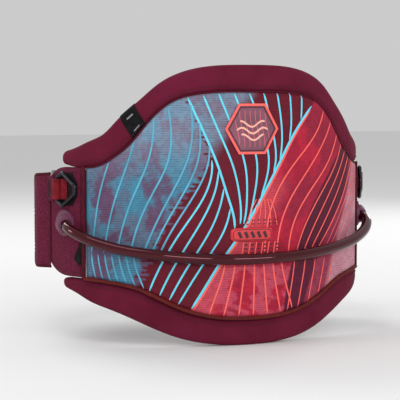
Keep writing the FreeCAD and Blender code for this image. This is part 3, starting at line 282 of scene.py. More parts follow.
def resample(points, count):
    """Evenly spaced points on a smooth line through the given ones."""
    points = np.asarray(points, float)
    t = lengths(points)
    fine = np.linspace(0, t[-1], max(count * 4, 80))
    curve = np.stack([smooth(t, points[:, k])(fine) for k in range(points.shape[1])], -1)
    run = lengths(curve)
    even = np.linspace(0, run[-1], count)
    return np.stack([np.interp(even, run, curve[:, k]) for k in range(points.shape[1])], -1)


def stitches(name, path, out, material, pitch, length, width):
    """A line of stitches: small rounded threads laid end to end along a path on a surface."""
    path, out = np.asarray(path, float), np.asarray(out, float)
    run = lengths(path)
    middles = np.arange(pitch / 2, run[-1], pitch)
    turns, rows = 6, (-1.0, -0.75, 0.0, 0.75, 1.0)
    swell = (0.25, 0.85, 1.0, 0.85, 0.25)
    verts, faces = [], []
    for m in middles:
        ends_at = [np.array([np.interp(q, run, path[:, k]) for k in range(3)]) for q in (m - 5e-4, m + 5e-4)]
        along = ends_at[1] - ends_at[0]
        along /= max(np.linalg.norm(along), 1e-9)
        up = np.array([np.interp(m, run, out[:, k]) for k in range(3)])
        side = np.cross(along, up)
        middle = (ends_at[0] + ends_at[1]) / 2
        base = len(verts)
        for r, w in zip(rows, swell):
            sink = up * (width * 0.35 * (1 - abs(r)))
            for k in range(turns):
                angle = 2 * math.pi * k / turns
                verts.append(middle + along * (r * length / 2) + sink
                             + side * (math.cos(angle) * width / 2 * w) + up * (math.sin(angle) * width / 2 * w))
        for i in range(len(rows) - 1):
            for k in range(turns):
                a, b = base + i * turns + k, base + i * turns + (k + 1) % turns
                faces.append((a, b, b + turns, a + turns))
    return mesh(name, np.array(verts), faces, material)


# ---------------------------------------------------------------- materials


class Shader:
    """A principled material with a short way to wire nodes."""

    def __init__(self, name, colour, roughness=0.7, metallic=0.0, **more):
        self.material = bpy.data.materials.new(name)
        self.material.use_nodes = True
        self.tree = self.material.node_tree
        self.surface = self.tree.nodes["Principled BSDF"]
        self.set(self.surface,
                 {"Base Color": (*colour, 1.0), "Roughness": roughness, "Metallic": metallic, **more})

    def set(self, node, values):
        for key, value in values.items():
            if isinstance(value, bpy.types.NodeSocket):
                self.tree.links.new(value, node.inputs[key])
            else:
                node.inputs[key].default_value = value
        return node

    def add(self, kind, values=None, **settings):
        node = self.tree.nodes.new(kind)
        for key, value in settings.items():
            setattr(node, key, value)
        return self.set(node, values or {})

    def math(self, operation, a, b=0.0):
        return self.add("ShaderNodeMath", {0: a, 1: b}, operation=operation).outputs[0]

    def mix(self, share, a, b):
        node = self.add("ShaderNodeMix", data_type="RGBA")
        for index, value in ((0, share), (6, a), (7, b)):
            if isinstance(value, bpy.types.NodeSocket):
                self.tree.links.new(value, node.inputs[index])
            else:
                node.inputs[index].default_value = value
        return node.outputs[2]

    def noise(self, scale, detail=3.0):
        place = self.add("ShaderNodeTexCoord").outputs["Object"]
        values = {"Scale": scale, "Detail": detail, "Roughness": 0.55, "Vector": place}
        return self.add("ShaderNodeTexNoise", values).outputs["Fac"]

    def ramp(self, value, low, high):
        node = self.add("ShaderNodeMapRange", {"Value": value, "From Min": low, "From Max": high}, clamp=True)
        return node.outputs["Result"]

    def uv(self):
        split = self.add("ShaderNodeSeparateXYZ", {0: self.add("ShaderNodeUVMap", uv_map="UVMap").outputs[0]})
        return split.outputs[0], split.outputs[1]

    def wave(self, value, pitch):
        return self.math("SINE", self.math("MULTIPLY", value, 2 * math.pi / pitch))

    def bump(self, height, strength, distance):
        node = self.add("ShaderNodeBump", {"Strength": strength, "Distance": distance, "Height": height})
        self.set(self.surface, {"Normal": node.outputs[0]})


def rgb(text):
    """A linear colour from a screen colour in hexadecimal."""
    values = [int(text[i:i + 2], 16) / 255 for i in (0, 2, 4)]
    return tuple(v / 12.92 if v <= 0.04045 else ((v + 0.055) / 1.055) ** 2.4 for v in values)


def cloth(name, colour, other, pitch=0.0009, strength=0.5, mottle=60.0, sheen=0.25, roughness=0.85,
          ribs=False):
    """Woven cloth: threads in both directions of the map, and a slow change of tone."""
    sh = Shader(name, rgb(colour), roughness)
    sh.set(sh.surface, {"Sheen Weight": sheen * 0.4, "Sheen Roughness": 0.5, "Sheen Tint": (*rgb(other), 1),
                        "Specular IOR Level": 0.18})
    u, v = sh.uv()
    across = sh.wave(v, pitch)
    along = sh.wave(u, pitch * (1.6 if ribs else 1.0))
    weave = sh.math("MULTIPLY", across, along)
    woven = sh.math("MULTIPLY", weave, 0.35 if ribs else 1.0)
    height = sh.math("ADD", woven, sh.math("MULTIPLY", across, 0.9 * ribs))
    tone = sh.noise(mottle, 4.0)
    shade = sh.ramp(sh.math("ADD", tone, sh.math("MULTIPLY", weave, 0.09)), 0.35, 0.68)
    sh.set(sh.surface, {"Base Color": sh.mix(shade, (*rgb(colour), 1), (*rgb(other), 1))})
    sh.bump(sh.math("ADD", height, sh.math("MULTIPLY", sh.noise(900.0), 1.2)), strength, 0.00022)
    return sh.material


def solid(name, colour, roughness, metallic=0.0, grain=700.0, strength=0.12, tone=0.12, **more):
    """A hard material with fine grain and slight changes of tone."""
    base = rgb(colour)
    sh = Shader(name, base, roughness, metallic, **more)
    slow = sh.noise(45.0, 4.0)
    lighter = tuple(min(1.0, c * (1 + tone) + 0.01 * tone) for c in base)
    darker = tuple(c * (1 - tone) for c in base)
    sh.set(sh.surface, {"Base Color": sh.mix(sh.ramp(slow, 0.3, 0.7), (*darker, 1), (*lighter, 1))})
    fine = sh.noise(grain, 5.0)
    rough = sh.math("ADD", sh.math("MULTIPLY", fine, 0.14), roughness - 0.07)
    sh.set(sh.surface, {"Roughness": rough})
    sh.bump(fine, strength, 0.00025)
    return sh.material


HEM = cloth("hem_neoprene", "5c0f27", "6b1834", pitch=0.0007, strength=0.28, mottle=26.0, sheen=0.55,
            roughness=0.9)
HEM_THREAD = solid("hem_thread", "4a0b1e", 0.7)
PIPING = cloth("piping_tape", "5a1c1c", "6e2722", pitch=0.0008, strength=0.6, mottle=120.0, ribs=True)
BINDING = cloth("binding_tape", "4c0d1c", "5d1526", pitch=0.0009, strength=0.7, mottle=120.0, ribs=True)
WING = cloth("wing_cloth", "52102a", "7a2543", pitch=0.0010, strength=0.7, mottle=700.0, sheen=0.3)
LINING = cloth("lining_cloth", "2c0913", "41101f", pitch=0.0011, strength=0.6, mottle=70.0, sheen=0.4)
BELT = cloth("belt_cloth", "161114", "251c20", pitch=0.0010, strength=0.6, mottle=80.0, sheen=0.3)
BLACK_TAPE = cloth("black_webbing", "0e0e10", "1d1d20", pitch=0.0016, strength=1.0, mottle=150.0, ribs=True)
RED_TAPE = cloth("red_webbing", "6d0f1c", "8d1c28", pitch=0.0014, strength=1.0, mottle=150.0, ribs=True)
PAD = cloth("pad_cloth", "3c0a1b", "541229", pitch=0.0010, strength=0.6, mottle=60.0, sheen=0.4)
THREAD = solid("grey_thread", "6f6a70", 0.7)
DARK_THREAD = solid("dark_thread", "1b1517", 0.7)
CYAN = solid("cyan_print", "5fd6ef", 0.5, tone=0.08)
CYAN_SOFT = solid("soft_cyan_print", "52a9c8", 0.55, tone=0.2)
CORAL = solid("coral_print", "ff5f57", 0.5, tone=0.08)
CORAL_SOFT = solid("soft_coral_print", "e0606a", 0.55, tone=0.15)
DARK_PRINT = solid("dark_print", "4c0a20", 0.6)
STEEL = solid("gunmetal", "34343a", 0.28, 1.0, grain=500.0, strength=0.08)
BAR_STEEL = solid("bar_steel", "8b8d92", 0.3, 1.0, grain=400.0, strength=0.1)
BLACK_METAL = solid("black_metal", "151518", 0.38, 0.6, grain=600.0, strength=0.1)
BLACK_PLASTIC = solid("black_plastic", "121215", 0.45, grain=1500.0, strength=0.25)
EYELET = solid("eyelet_rubber", "6b3350", 0.5, grain=1100.0, strength=0.2)
BADGE = solid("badge_rubber", "d8303a", 0.42, grain=1300.0, strength=0.2)
BADGE_MARK = solid("badge_mark", "3a0d1a", 0.5)
LABEL = cloth("label_cloth", "0c0c0e", "17171a", pitch=0.0006, strength=0.5, mottle=200.0, sheen=0.2)
LABEL_MARK = solid("label_mark", "8d8a90", 0.6)
TUBE = solid("tube_plastic", "32030b", 0.10, grain=30.0, strength=0.015,
             **{"Coat Weight": 0.3, "Coat Roughness": 0.02, "Specular IOR Level": 0.5,
                "Specular Tint": (1, 0.28, 0.34, 1)})
ROPE = cloth("rope", "8f1d28", "b03440", pitch=0.0016, strength=1.0)
STIFF = solid("stiff_sheet", "202024", 0.6)

CAD_LOOKS = (
    (STEEL, ["left_leash_ring", "right_leash_ring", "cam_pins"]),
    (EYELET, ["left_eyelet", "right_eyelet"]),
    (BAR_STEEL, ["spreader_bar", "bar_left_end", "bar_right_end", "hook_plate", "hook", "hook_screws",
                 "catch_frame"]),
    (STIFF, ["stiffener_sheet", "lumbar_battens"]),
    (BLACK_METAL, [f"{row}_{hand}_buckle_frame" for row, _ in ROWS for hand, _ in SIDES]),
    (BLACK_PLASTIC, [f"{row}_{hand}_cam_lever" for row, _ in ROWS for hand, _ in SIDES]),
)
look_of = {node: look for look, nodes in CAD_LOOKS for node in nodes}
for part in bpy.data.objects:
    if part.get("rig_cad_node") in look_of:
        part.data.materials.clear()
        part.data.materials.append(look_of[part["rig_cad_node"]])

# ---------------------------------------------------------------- camera
TARGET = Vector((0.003, 0.0, 0.010))
VIEW_BEARING, VIEW_RISE, VIEW_DISTANCE, LENS, SENSOR = 22.5, 4.0, 1.6, 148, 36


def looking(name, data, bearing, rise, distance, target=Vector()):
    """A camera or lamp that looks at a target from a bearing, an elevation and a distance."""
    b, e = math.radians(bearing), math.radians(rise)
    way = Vector((math.sin(b) * math.cos(e), math.cos(b) * math.cos(e), math.sin(e)))
    obj = bpy.data.objects.new(name, data)
    bpy.context.scene.collection.objects.link(obj)
    obj.location = target + way * distance
    obj.rotation_euler = (-way).to_track_quat("-Z", "Y").to_euler()
    return obj


lens = bpy.data.cameras.new("camera")
lens.lens, lens.sensor_width = LENS, SENSOR
bpy.context.scene.camera = looking("camera", lens, VIEW_BEARING, VIEW_RISE, VIEW_DISTANCE, TARGET)

# ---------------------------------------------------------------- leash tube
EYELET_BEARING, EYELET_Z = 70.0, -5 * MM
TUBE_LEAN, TUBE_DROOP, TUBE_ENTRY, TUBE_RADIUS = 55.0, 16.0, 15.5 * MM, 5 * MM


def eyelet_axis():
    """The direction in which the tube leaves the left eyelet."""
    b, lean, droop = math.radians(EYELET_BEARING), math.radians(TUBE_LEAN), math.radians(TUBE_DROOP)
    along = np.array([-math.cos(b) * math.cos(droop), math.sin(b) * math.cos(droop), -math.sin(droop)])
    return normal(EYELET_BEARING) * math.cos(lean) + along * math.sin(lean)


def tube_route():
    """The tube's route from the left eyelet round the back to the right one, as in the CAD."""
    eyelet = at(EYELET_BEARING, EYELET_Z)
    half = [(54.5, 11.2, -14.6), (44.5, 10.4, -21.0), (33, 9.6, -28.0), (17, 8.8, -34.2)]
    left = [eyelet + eyelet_axis() * MM, eyelet + eyelet_axis() * TUBE_ENTRY]
    left += [at(b, z * MM, h * MM) for b, h, z in half]
    right = [p * np.array([-1, 1, 1]) for p in reversed(left)]
    return left + [at(0, -36.4 * MM, 8.6 * MM)] + right


def leash_tube():
    """The glossy tube, a smooth curve through the route."""
    curve = bpy.data.curves.new("leash_tube_cover", "CURVE")
    curve.dimensions = "3D"
    curve.bevel_depth, curve.bevel_resolution = TUBE_RADIUS, 10
    curve.resolution_u = 24
    curve.use_fill_caps = True
    line = curve.splines.new("NURBS")
    line.points.add(len(route) - 1)
    for control, p in zip(line.points, route):
        control.co = (*p, 1.0)
    line.order_u = 3
    line.use_endpoint_u = True
    tube = bpy.data.objects.new("leash_tube_cover", curve)
    bpy.context.scene.collection.objects.link(tube)
    curve.materials.append(TUBE)
    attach(tube, ROOT)
    stand_in(tube, "tube_plastic", "leash_tube")


route = tube_route()
leash_tube()

# ---------------------------------------------------------------- hems, piping and side bindings
TOP_OUTER = [(0, 140), (12, 138.5), (20, 132.5), (26, 122), (31, 108), (37, 91), (44, 78.5), (54, 71),
             (62, 66), (70, 62.2), (75, 58.6), (77, 54.6)]
TOP_INNER = TOP_LINE + [(66, 47.5), (72, 48.8), (75.6, 51.2), (77, 54.6)]
BOTTOM_OUTER = [(0, -115), (12, -112.5), (20, -107), (27, -98.5), (33, -90), (42, -81.5), (54, -75.5),
                (62, -70), (70, -66), (74.6, -63), (76.6, -59.8)]
BOTTOM_INNER = [(b, z - 1.5) for b, z in BOTTOM_LINE]
BOTTOM_INNER += [(56, -56), (64, -55.9), (71, -56.1), (75.2, -57.6), (76.6, -59.8)]
HEM_STANDOFF, HEM_FAT, HEM_THIN = -7.9 * MM, 7.1 * MM, 0.3 * MM


def hem(name, high, low, node, tip):
    """A soft lip that is fattest along its free edge and closes in a round lobe at each end."""
    s, t = ends(-float(arc_of(tip)), float(arc_of(tip)), 320, 0.08)
    fat = HEM_THIN + (HEM_FAT - HEM_THIN) * pinch(t, 0.03)
    low_edge = low(s) - 0.001 * pinch(t, 0.05)
    obj = bolster(name, bearing_of(s), low_edge, high(s), HEM_STANDOFF, fat, HEM, 3.0)
    stand_in(obj, "hem_fabric", node, fill=0.7)
    return s, fat


def hem_seam(name, line, offset, s, fat):
    """Stitches along a hem, at a distance from the line that joins it to the panel."""
    keep = np.abs(s) < float(arc_of(70))
    path = at(bearing_of(s[keep]), line(s[keep]) + offset, HEM_STANDOFF + fat[keep] + 0.05 * MM)
    stitches(name, path, normal(bearing_of(s[keep])), HEM_THREAD, 0.0042, 0.0030, 0.0006)


top_low, top_high = edge(TOP_INNER), edge(TOP_OUTER)
bottom_low, bottom_high = edge(BOTTOM_OUTER), edge(BOTTOM_INNER)
s_top, fat_top = hem("top_hem_soft", top_high, top_low, "top_hem", 77.0)
s_bottom, fat_bottom = hem("bottom_hem_soft", bottom_high, bottom_low, "bottom_hem", 76.6)
hem_seam("top_hem_stitches", top_low, 0.0045, s_top, fat_top)
hem_seam("bottom_hem_stitches", bottom_high, -0.0050, s_bottom, fat_bottom)

s = np.linspace(-PANEL_SIDE, PANEL_SIDE, 300)
along_edge = normal(bearing_of(s))
piping = sweep("lower_piping_roll", at(bearing_of(s), PANEL_BOTTOM(s), 0.0002), along_edge, 0.0034, 0.0034,
               PIPING, 2.2, count=14)
stand_in(piping, "piping", "lower_piping")
seam_roll = sweep("upper_seam_roll", at(bearing_of(s), PANEL_TOP(s) - 0.0004, -0.0009), along_edge, 0.0016,
                  0.0016, BINDING, 2.2, count=10)
stand_in(seam_roll, "piping")

BINDING_BEARING = 56.2
for hand, side in SIDES:
    path = at(side * BINDING_BEARING, np.linspace(-0.0555, 0.0475, 60), -0.0002)
    out = np.repeat(normal(side * BINDING_BEARING)[None], len(path), 0)
    tape = sweep(f"{hand}_binding_roll", path, out, 0.0042, 0.0028, BINDING, 3.0, count=18)
    stand_in(tape, "piping", f"{hand}_side_binding")

# ---------------------------------------------------------------- printed back panel
LEVELS = (110, 80, 50, 20, -10, -40, -70, -95)


def down(values):
    """A line of the print: millimetres across for a height in millimetres, from its places at LEVELS."""
    return smooth(list(reversed(LEVELS)), list(reversed(values)))


CENTRE_CROSS = down((60, 46, 33, 23, 17, 31, 50, 67))
DIAGONAL = down((-74, -47, -28, -10, 9, 31, 50, 67))
CLOUD_SIDE = down((60, 46, 42, 64, 82, 97, 108, 116))
DARK_START = down((-150, -128, -101, -76, -57, -44, -36, -33))
DARK_STOP = down((-175, -150, -131, -119, -94, -76, -62, -54))
PINK_SIDE = down((-180, -160, -139, -127, -113, -98, -88, -84))


def panel_face(s, z, lift=0.0):
    """Points on the printed face, which dips at its sewn edges."""
    dip = -0.0018 * np.exp(-(np.clip(inside_panel(s, z), 0, 1) / 0.0024) ** 2)
    return at(bearing_of(s), z, dip + lift)


def step(value, width):
    """0 below zero and 1 above, softly over a width."""
    t = np.clip(value / width + 0.5, 0, 1)
    return t * t * (3 - 2 * t)


def clouds(s, z, size, seed):
    """Slow soft patches from 0 to 1."""
    rng = np.random.RandomState(seed)
    total = np.zeros_like(s)
    for octave in range(4):
        for _ in range(5):
            angle, phase, stretch = rng.uniform(0, 2 * math.pi, 3)
            wave = (s * math.cos(angle) + z * math.sin(angle)) * 2 ** octave / size
            total += np.sin(wave * 2 * math.pi + phase + 1.3 * np.sin(stretch + z * 3 / size)) / 1.7 ** octave
    return 0.5 + 0.5 * np.tanh(total / 3.2)


def print_colour(s, z):
    """The print's ground colour at places in millimetres."""
    def paint(ground, share, colour):
        return ground + (np.array(rgb(colour)) - ground) * np.clip(share, 0, 1)[..., None]

    soft, patch = clouds(s, z, 95, 4), clouds(s, z, 42, 9)
    out = np.zeros(s.shape + (3,)) + np.array(rgb("620a1f"))
    out = paint(out, 0.5 * patch, "740f2a")
    # Blue clouds at the left and along the top.
    row = np.floor(z / 2.1)
    ragged = 5.0 * np.sin(row * 12.9898) * np.sin(row * 4.1) + 3.0 * np.sin(row * 78.233)
    cloud = step(s - CLOUD_SIDE(z) + ragged, 3)
    top = step(z - 62 - (35 - s) * 1.5, 30) * step(CENTRE_CROSS(z) - s, 2) * step(s - DIAGONAL(z), 2)
    blue = paint(paint(np.zeros_like(out) + np.array(rgb("5b6f88")), step(soft - 0.42, 0.3), "4685a0"),
                 0.8 * step(0.42 - patch, 0.45), "67395a")
    blue = paint(blue, step(z - 55, 60) * 0.45, "9aa3b8")
    out = out + (blue - out) * np.clip(cloud + 0.85 * top, 0, 1)[..., None]
    # Crimson right of the diagonal.
    right = step(DIAGONAL(z) - s, 1.2)
    red = paint(np.zeros_like(out) + np.array(rgb("a51736")), step(patch - 0.5, 0.4), "b91d3b")
    red = paint(red, step(0.4 - soft, 0.3) * 0.7, "8e1d3a")
    near = step(20 - (DIAGONAL(z) - s), 22) * step(34 - z, 25)
    red = paint(red, near * 0.7, "d04e5a")
    low = step(-40 - z, 6)
    red = paint(red, low * step(clouds(s, z, 30, 21) - 0.45, 0.3) * 0.8, "c84e64")
    dark = step(DARK_START(z) - s, 2) * step(s - DARK_STOP(z), 3)
    red = paint(red, dark, "5a1030")
    beyond = step(DARK_STOP(z) - s, 3)
    red = paint(red, beyond * 0.8, "87304c")
    pale = step(PINK_SIDE(z) - s, 8) * (0.55 + 0.45 * patch)
    red = paint(red, pale, "cf97a5")
    return out + (red - out) * right[..., None]


def back_panel():
    """The printed face and the foam behind it, as one closed padded piece."""
    across, z = panel_grid(200, 320)
    obj = slab("back_panel_soft", panel_face(across, z), at(bearing_of(across), z, -0.0112), PRINT,
               np.stack([across, z], -1))
    colour = print_colour(across / MM, z / MM).reshape(-1, 3)
    colour = np.concatenate([colour, colour * 0 + np.array(rgb("3a0c1c"))])
    layer = obj.data.color_attributes.new("Print", "FLOAT_COLOR", "POINT")
    layer.data.foreach_set("color", np.concatenate([colour, np.ones((len(colour), 1))], 1).ravel())
    stand_in(obj, "printed_fabric", "printed_back_panel", "foam_core", fill=0.8)


def print_material():
    """Printed cloth: the print's ground with fine level dashes and a weave."""
    sh = Shader("printed_cloth", (0.3, 0.05, 0.1), 0.62)
    sh.set(sh.surface, {"Specular IOR Level": 0.22})
    ground = sh.add("ShaderNodeAttribute", attribute_name="Print").outputs["Color"]
    u, v = sh.uv()
    weave = sh.math("MULTIPLY", sh.wave(u, 0.0008), sh.wave(v, 0.0008))
    rows = sh.ramp(sh.wave(v, 0.0021), 0.1, 0.7)
    breaks = sh.ramp(sh.noise(260.0, 2.0), 0.42, 0.56)
    dashes = sh.math("MULTIPLY", rows, breaks)
    dark = sh.mix(1.0, ground, (0.42, 0.30, 0.40, 1))
    dark.node.blend_type = "MULTIPLY"
    sh.set(sh.surface, {"Base Color": sh.mix(sh.math("MULTIPLY", dashes, 0.6), ground, dark)})
    sh.bump(sh.math("ADD", weave, sh.math("MULTIPLY", sh.noise(500.0), 0.8)), 0.35, 0.00018)
    return sh.material


PRINT = print_material()
back_panel()


def finely(points, pitch, closed):
    """The same corners with points added between them, no further apart than the pitch."""
    after = np.roll(points, -1, 0) if closed else points[1:]
    made = []
    for a, b in zip(points, after):
        count = max(1, math.ceil(np.linalg.norm(b - a) / pitch))
        made += [a + (b - a) * i / count for i in range(count)]
    return np.array(made if closed else made + [points[-1]])


class Strokes:
    """Flat printed strokes in one piece; places are (across, height) in millimetres on the panel."""

    def __init__(self, face=panel_face):
        self.verts, self.faces, self.face = [], [], face

    def add(self, points, width, lift=0.25, closed=False, taper=False):
        p = np.asarray(points, float)
        if not taper:
            p = finely(p, 2.0, closed)
        if closed:
            before, after = np.roll(p, 1, 0), np.roll(p, -1, 0)
        else:
            before, after = np.concatenate([p[:1], p[:-1]]), np.concatenate([p[1:], p[-1:]])
        along_in, along_out = p - before, after - p
        for a, b in ((along_in, along_out), (along_out, along_in)):
            still = np.linalg.norm(a, axis=1) < 1e-9
            a[still] = b[still]
        along_out = units(along_out)
        mitre = units(units(along_in) + along_out)
        side = np.stack([-mitre[:, 1], mitre[:, 0]], -1)
        reach = width / 2 / np.clip((mitre * along_out).sum(1), 0.4, 1)
        if taper:
            place = np.arange(len(p))
            reach = reach * np.clip(np.minimum(place, place[::-1]) / 3 + 0.35, 0, 1)
        base = len(self.verts)
        for sign in (1, -1):
            q = p + side * reach[:, None] * sign
            self.verts += list(self.face(q[:, 0] * MM, q[:, 1] * MM, lift * MM))
        n = len(p)
        for i in range(n if closed else n - 1):
            j = (i + 1) % n
            self.faces.append((base + i, base + j, base + n + j, base + n + i))

    def family(self, first, last, count, keep, width):
        """Evenly shared lines between two guides, kept only where they belong."""
        z = np.arange(116, -95, -2.0)
        for i in range(count):
            share = i / max(count - 1, 1)
            s = first(z) + (last(z) - first(z)) * share
            room = np.minimum(PANEL_TOP(s * MM) / MM - z, z - PANEL_BOTTOM(s * MM) / MM)
            good = keep(s, z) & (room > 1.2) & (np.abs(s) < PANEL_SIDE / MM - 2)
            cuts = np.flatnonzero(np.diff(np.concatenate([[0], good.astype(int), [0]])))
            for a, b in zip(cuts[::2], cuts[1::2]):
                if b - a > 3:
                    self.add(np.stack([s[a:b], z[a:b]], -1), width, taper=True)

    def done(self, name, material, slot):
        stand_in(mesh(name, np.array(self.verts), self.faces, material), slot)


def in_cloud(s, z):
    return (s > CENTRE_CROSS(z)) & (z > -31)


def between_crosses(s, z):
    return (s > DIAGONAL(z) + 1) & (s < CENTRE_CROSS(z) - 1) & (z > -6)


def beyond_diagonal(s, z):
    return (s < DIAGONAL(z) - 1.5) & (z > -34)


soft_cyan, cyan, coral, soft_coral, dark_marks = [Strokes() for _ in range(5)]
soft_cyan.family(down((118, 123, 133, 142, 147, 152, 158, 160)), down((79, 75, 79, 94, 107, 115, 124, 130)),
                 4, in_cloud, 1.6)
soft_cyan.family(down((58, 56, 62, 77, 92, 104, 114, 120)), down((50, 42, 42, 56, 75, 90, 102, 110)), 3,
                 in_cloud, 1.6)
soft_cyan.family(down((150, 150, 150, 150, 150, 149, 141, 137)), down((110, 110, 110, 110, 110, 108, 97, 92)),
                 7, lambda s, z: z < -31, 1.5)
cyan.family(down((60, 46, 38, 46, 66, 84, 97, 104)), down((20, 20, 20, 20, 27, 46, 65, 80)), 4,
            lambda s, z: (s > CENTRE_CROSS(z) + 1) & (z < 56), 1.7)
cyan.family(CENTRE_CROSS, CENTRE_CROSS, 1, lambda s, z: z > -9, 2.1)
cyan.family(DIAGONAL, DIAGONAL, 1, lambda s, z: z < 104, 2.2)
cyan.family(down((45, 32, 19, 12, 13, 30, 50, 60)), down((1, -11, -17, -9, 5, 30, 50, 60)), 4,
            between_crosses, 1.8)
cyan.family(down((-13, -21, -24, -12, 5, 30, 50, 60)), down((-54, -51, -36, -20, 0, 30, 50, 60)), 4,
            between_crosses, 1.8)
coral_edge = down((-76.5, -49.5, -30.5, -12.5, 6.5, 28.5, 47.5, 64.5))
coral.family(coral_edge, coral_edge, 1, lambda s, z: z < 100, 1.6)
coral.family(down((-86, -75, -46, -24, -15, -12, -10, -8)), down((-118, -107, -91, -62, -43, -38, -34, -30)),
             3, beyond_diagonal, 1.6)
coral.family(down((-130, -118, -105, -80, -58, -46, -40, -36)),
             down((-160, -150, -136, -119, -95, -69, -56, -50)), 4, beyond_diagonal, 1.4)
soft_coral.family(down((-170, -156, -142, -126, -104, -80, -66, -60)),
                  down((-190, -178, -160, -146, -132, -112, -98, -92)), 5, lambda s, z: z > -34, 1.2)
coral.family(down((27, 27, 27, 27, 27, 26, 35, 44)), down((-30, -30, -30, -30, -30, -31, -39, -47)), 7,
             lambda s, z: (s < DIAGONAL(z) - 1.5) & (z < -38), 1.6)
coral.family(down((-46, -46, -46, -46, -46, -46, -41, -36)),
             down((-102, -102, -102, -102, -102, -99, -90, -84)), 5, lambda s, z: z < -38, 1.3)
for column in range(6):
    foot = 6 - column * 6.4
    coral.add([(foot * 0.45 - 7, 18), (foot * 0.8 - 3, 6), (foot, -6)], 0.9)
    coral.add([(foot + 2, -21), (foot + 4, -33)], 1.1)
    for height in (-23.5, -27, -30.5):
        dark_marks.add([(foot - 1.6, height), (foot + 1.4, height)], 1.3, 0.3)
    for height in (-4.5, -1.0):
        dark_marks.add([(foot * 0.9 - 2.2, height), (foot * 0.9 + 0.4, height)], 0.9, 0.3)
for i in range(46):
    height = 62 - 2.4 * i
    start, stop = float(DARK_START(height)), float(DARK_STOP(height))
    for share in (0.18, 0.5, 0.82):
        middle = start + (stop - start) * share
        dark_marks.add([(middle + 3, height - 1.6), (middle - 3, height + 1.6)], 0.7, 0.2)
for strokes, name, look in ((soft_cyan, "soft_cyan", CYAN_SOFT), (cyan, "cyan", CYAN),
                            (coral, "coral", CORAL),
                            (soft_coral, "soft_coral", CORAL_SOFT), (dark_marks, "dark", DARK_PRINT)):
    strokes.done(f"print_{name}", look, "printed_fabric")

# ---------------------------------------------------------------- emblem, badge and label


def on_emblem(s, z, lift=0.0):
    """Points on the emblem's raised face."""
    return at(bearing_of(s), z, 0.0009 + lift)


def patch(name, corners, lift, thick, material, slot, *nodes, rows=24, cols=24):
    """A convex patch that follows the oval; corners are (across, height) in millimetres."""
    corners = np.asarray(corners, float) * MM
    z = np.linspace(corners[:, 1].min() + 1e-6, corners[:, 1].max() - 1e-6, rows)
    spans = []
    for height in z:
        hits = []
        for (s0, z0), (s1, z1) in zip(corners, np.roll(corners, -1, 0)):
            if (z0 - height) * (z1 - height) < 0:
                hits.append(s0 + (s1 - s0) * (height - z0) / (z1 - z0))
        spans.append((min(hits), max(hits)))
    spans = np.array(spans)
    share = np.linspace(0, 1, cols)[None]
    s = spans[:, :1] + (spans[:, 1:] - spans[:, :1]) * share
    zz = z[:, None] + 0 * s
    obj = slab(name, at(bearing_of(s), zz, lift * MM), at(bearing_of(s), zz, (lift - thick) * MM), material,
               np.stack([s, zz], -1))
    return stand_in(obj, slot, *nodes)


EMBLEM_Z, EMBLEM_RADIUS = 82.0, 26.5
EMBLEM = solid("emblem_ground", "7a4358", 0.55, grain=1200.0, strength=0.2, tone=0.25)


def hexagon(share):
    """The emblem's six corners in millimetres, drawn in to a share of its size."""
    reach = EMBLEM_RADIUS * share
    angles = [math.radians(60 * i) for i in range(6)]
    return [(reach * math.cos(angle), EMBLEM_Z + reach * math.sin(angle)) for angle in angles]


patch("emblem_patch", hexagon(1), 0.9, 0.9, EMBLEM, "emblem_rubber", "hex_emblem")
rim, inner_rim, fine, wave = [Strokes(on_emblem) for _ in range(4)]
rim.add(hexagon(0.95), 2.2, 0.25, closed=True)
inner_rim.add(hexagon(0.855), 1.2, 0.2, closed=True)
for i in range(7):
    across = -15 + 5 * i
    reach = 0.8 * (23 - max(0, abs(across) - 13.2) * 1.73) * 0.9
    z = np.linspace(EMBLEM_Z - reach, EMBLEM_Z + reach, 14)
    fine.add(np.stack([across + 2.5 * np.sin((z - EMBLEM_Z) / 9.0), z], -1), 0.6, 0.15)
for rise, size in ((4.5, 1.0), (-1.5, 1.25), (-7.5, 0.9)):
    x = np.linspace(-13, 13, 40) * size * 0.95
    wave.add(np.stack([x, EMBLEM_Z + rise + 2.6 * np.sin(x / 3.4 + rise)], -1), 1.7, 0.35, taper=True)
rim.done("emblem_rim", CORAL, "emblem_rubber")
inner_rim.done("emblem_inner_rim", DARK_PRINT, "emblem_rubber")
fine.done("emblem_fine_lines", CORAL_SOFT, "emblem_rubber")
wave.done("emblem_wave", solid("emblem_light", "ffb3a0", 0.5), "emblem_rubber")

BADGE_Z, BADGE_HALF_WIDTH, BADGE_HALF_HEIGHT, BADGE_FOOT, BADGE_THICK = -14.0, 20.8, 6.2, 0.4, 2.0


def rubber_badge():
    """The moulded badge, domed towards its edges."""
    a, o = squircle(64, 6.0)
    rounded = 1 - 0.2 * np.cos(np.linspace(0, math.pi / 2, 8))[1:]
    shares = np.concatenate([[0.02], np.linspace(0.2, 0.8, 4), rounded, [1.0]])
    heights = [BADGE_FOOT + BADGE_THICK * (1 - min(r,
                                                   1) ** 8) ** 0.5 for r in shares[:-1]] + [BADGE_FOOT - 0.8]
    rings = [at(bearing_of(a * BADGE_HALF_WIDTH * r * MM), (BADGE_Z + o * BADGE_HALF_HEIGHT * r) * MM, h * MM)
             for r, h in zip(shares, heights)]
    stand_in(loft("badge_block", rings, BADGE), "badge_rubber", "rubber_badge")


rubber_badge()


def on_badge(s, z, lift=0.0):
    """Points on the badge's face."""
    return at(bearing_of(s), z, 0.0024 + lift)


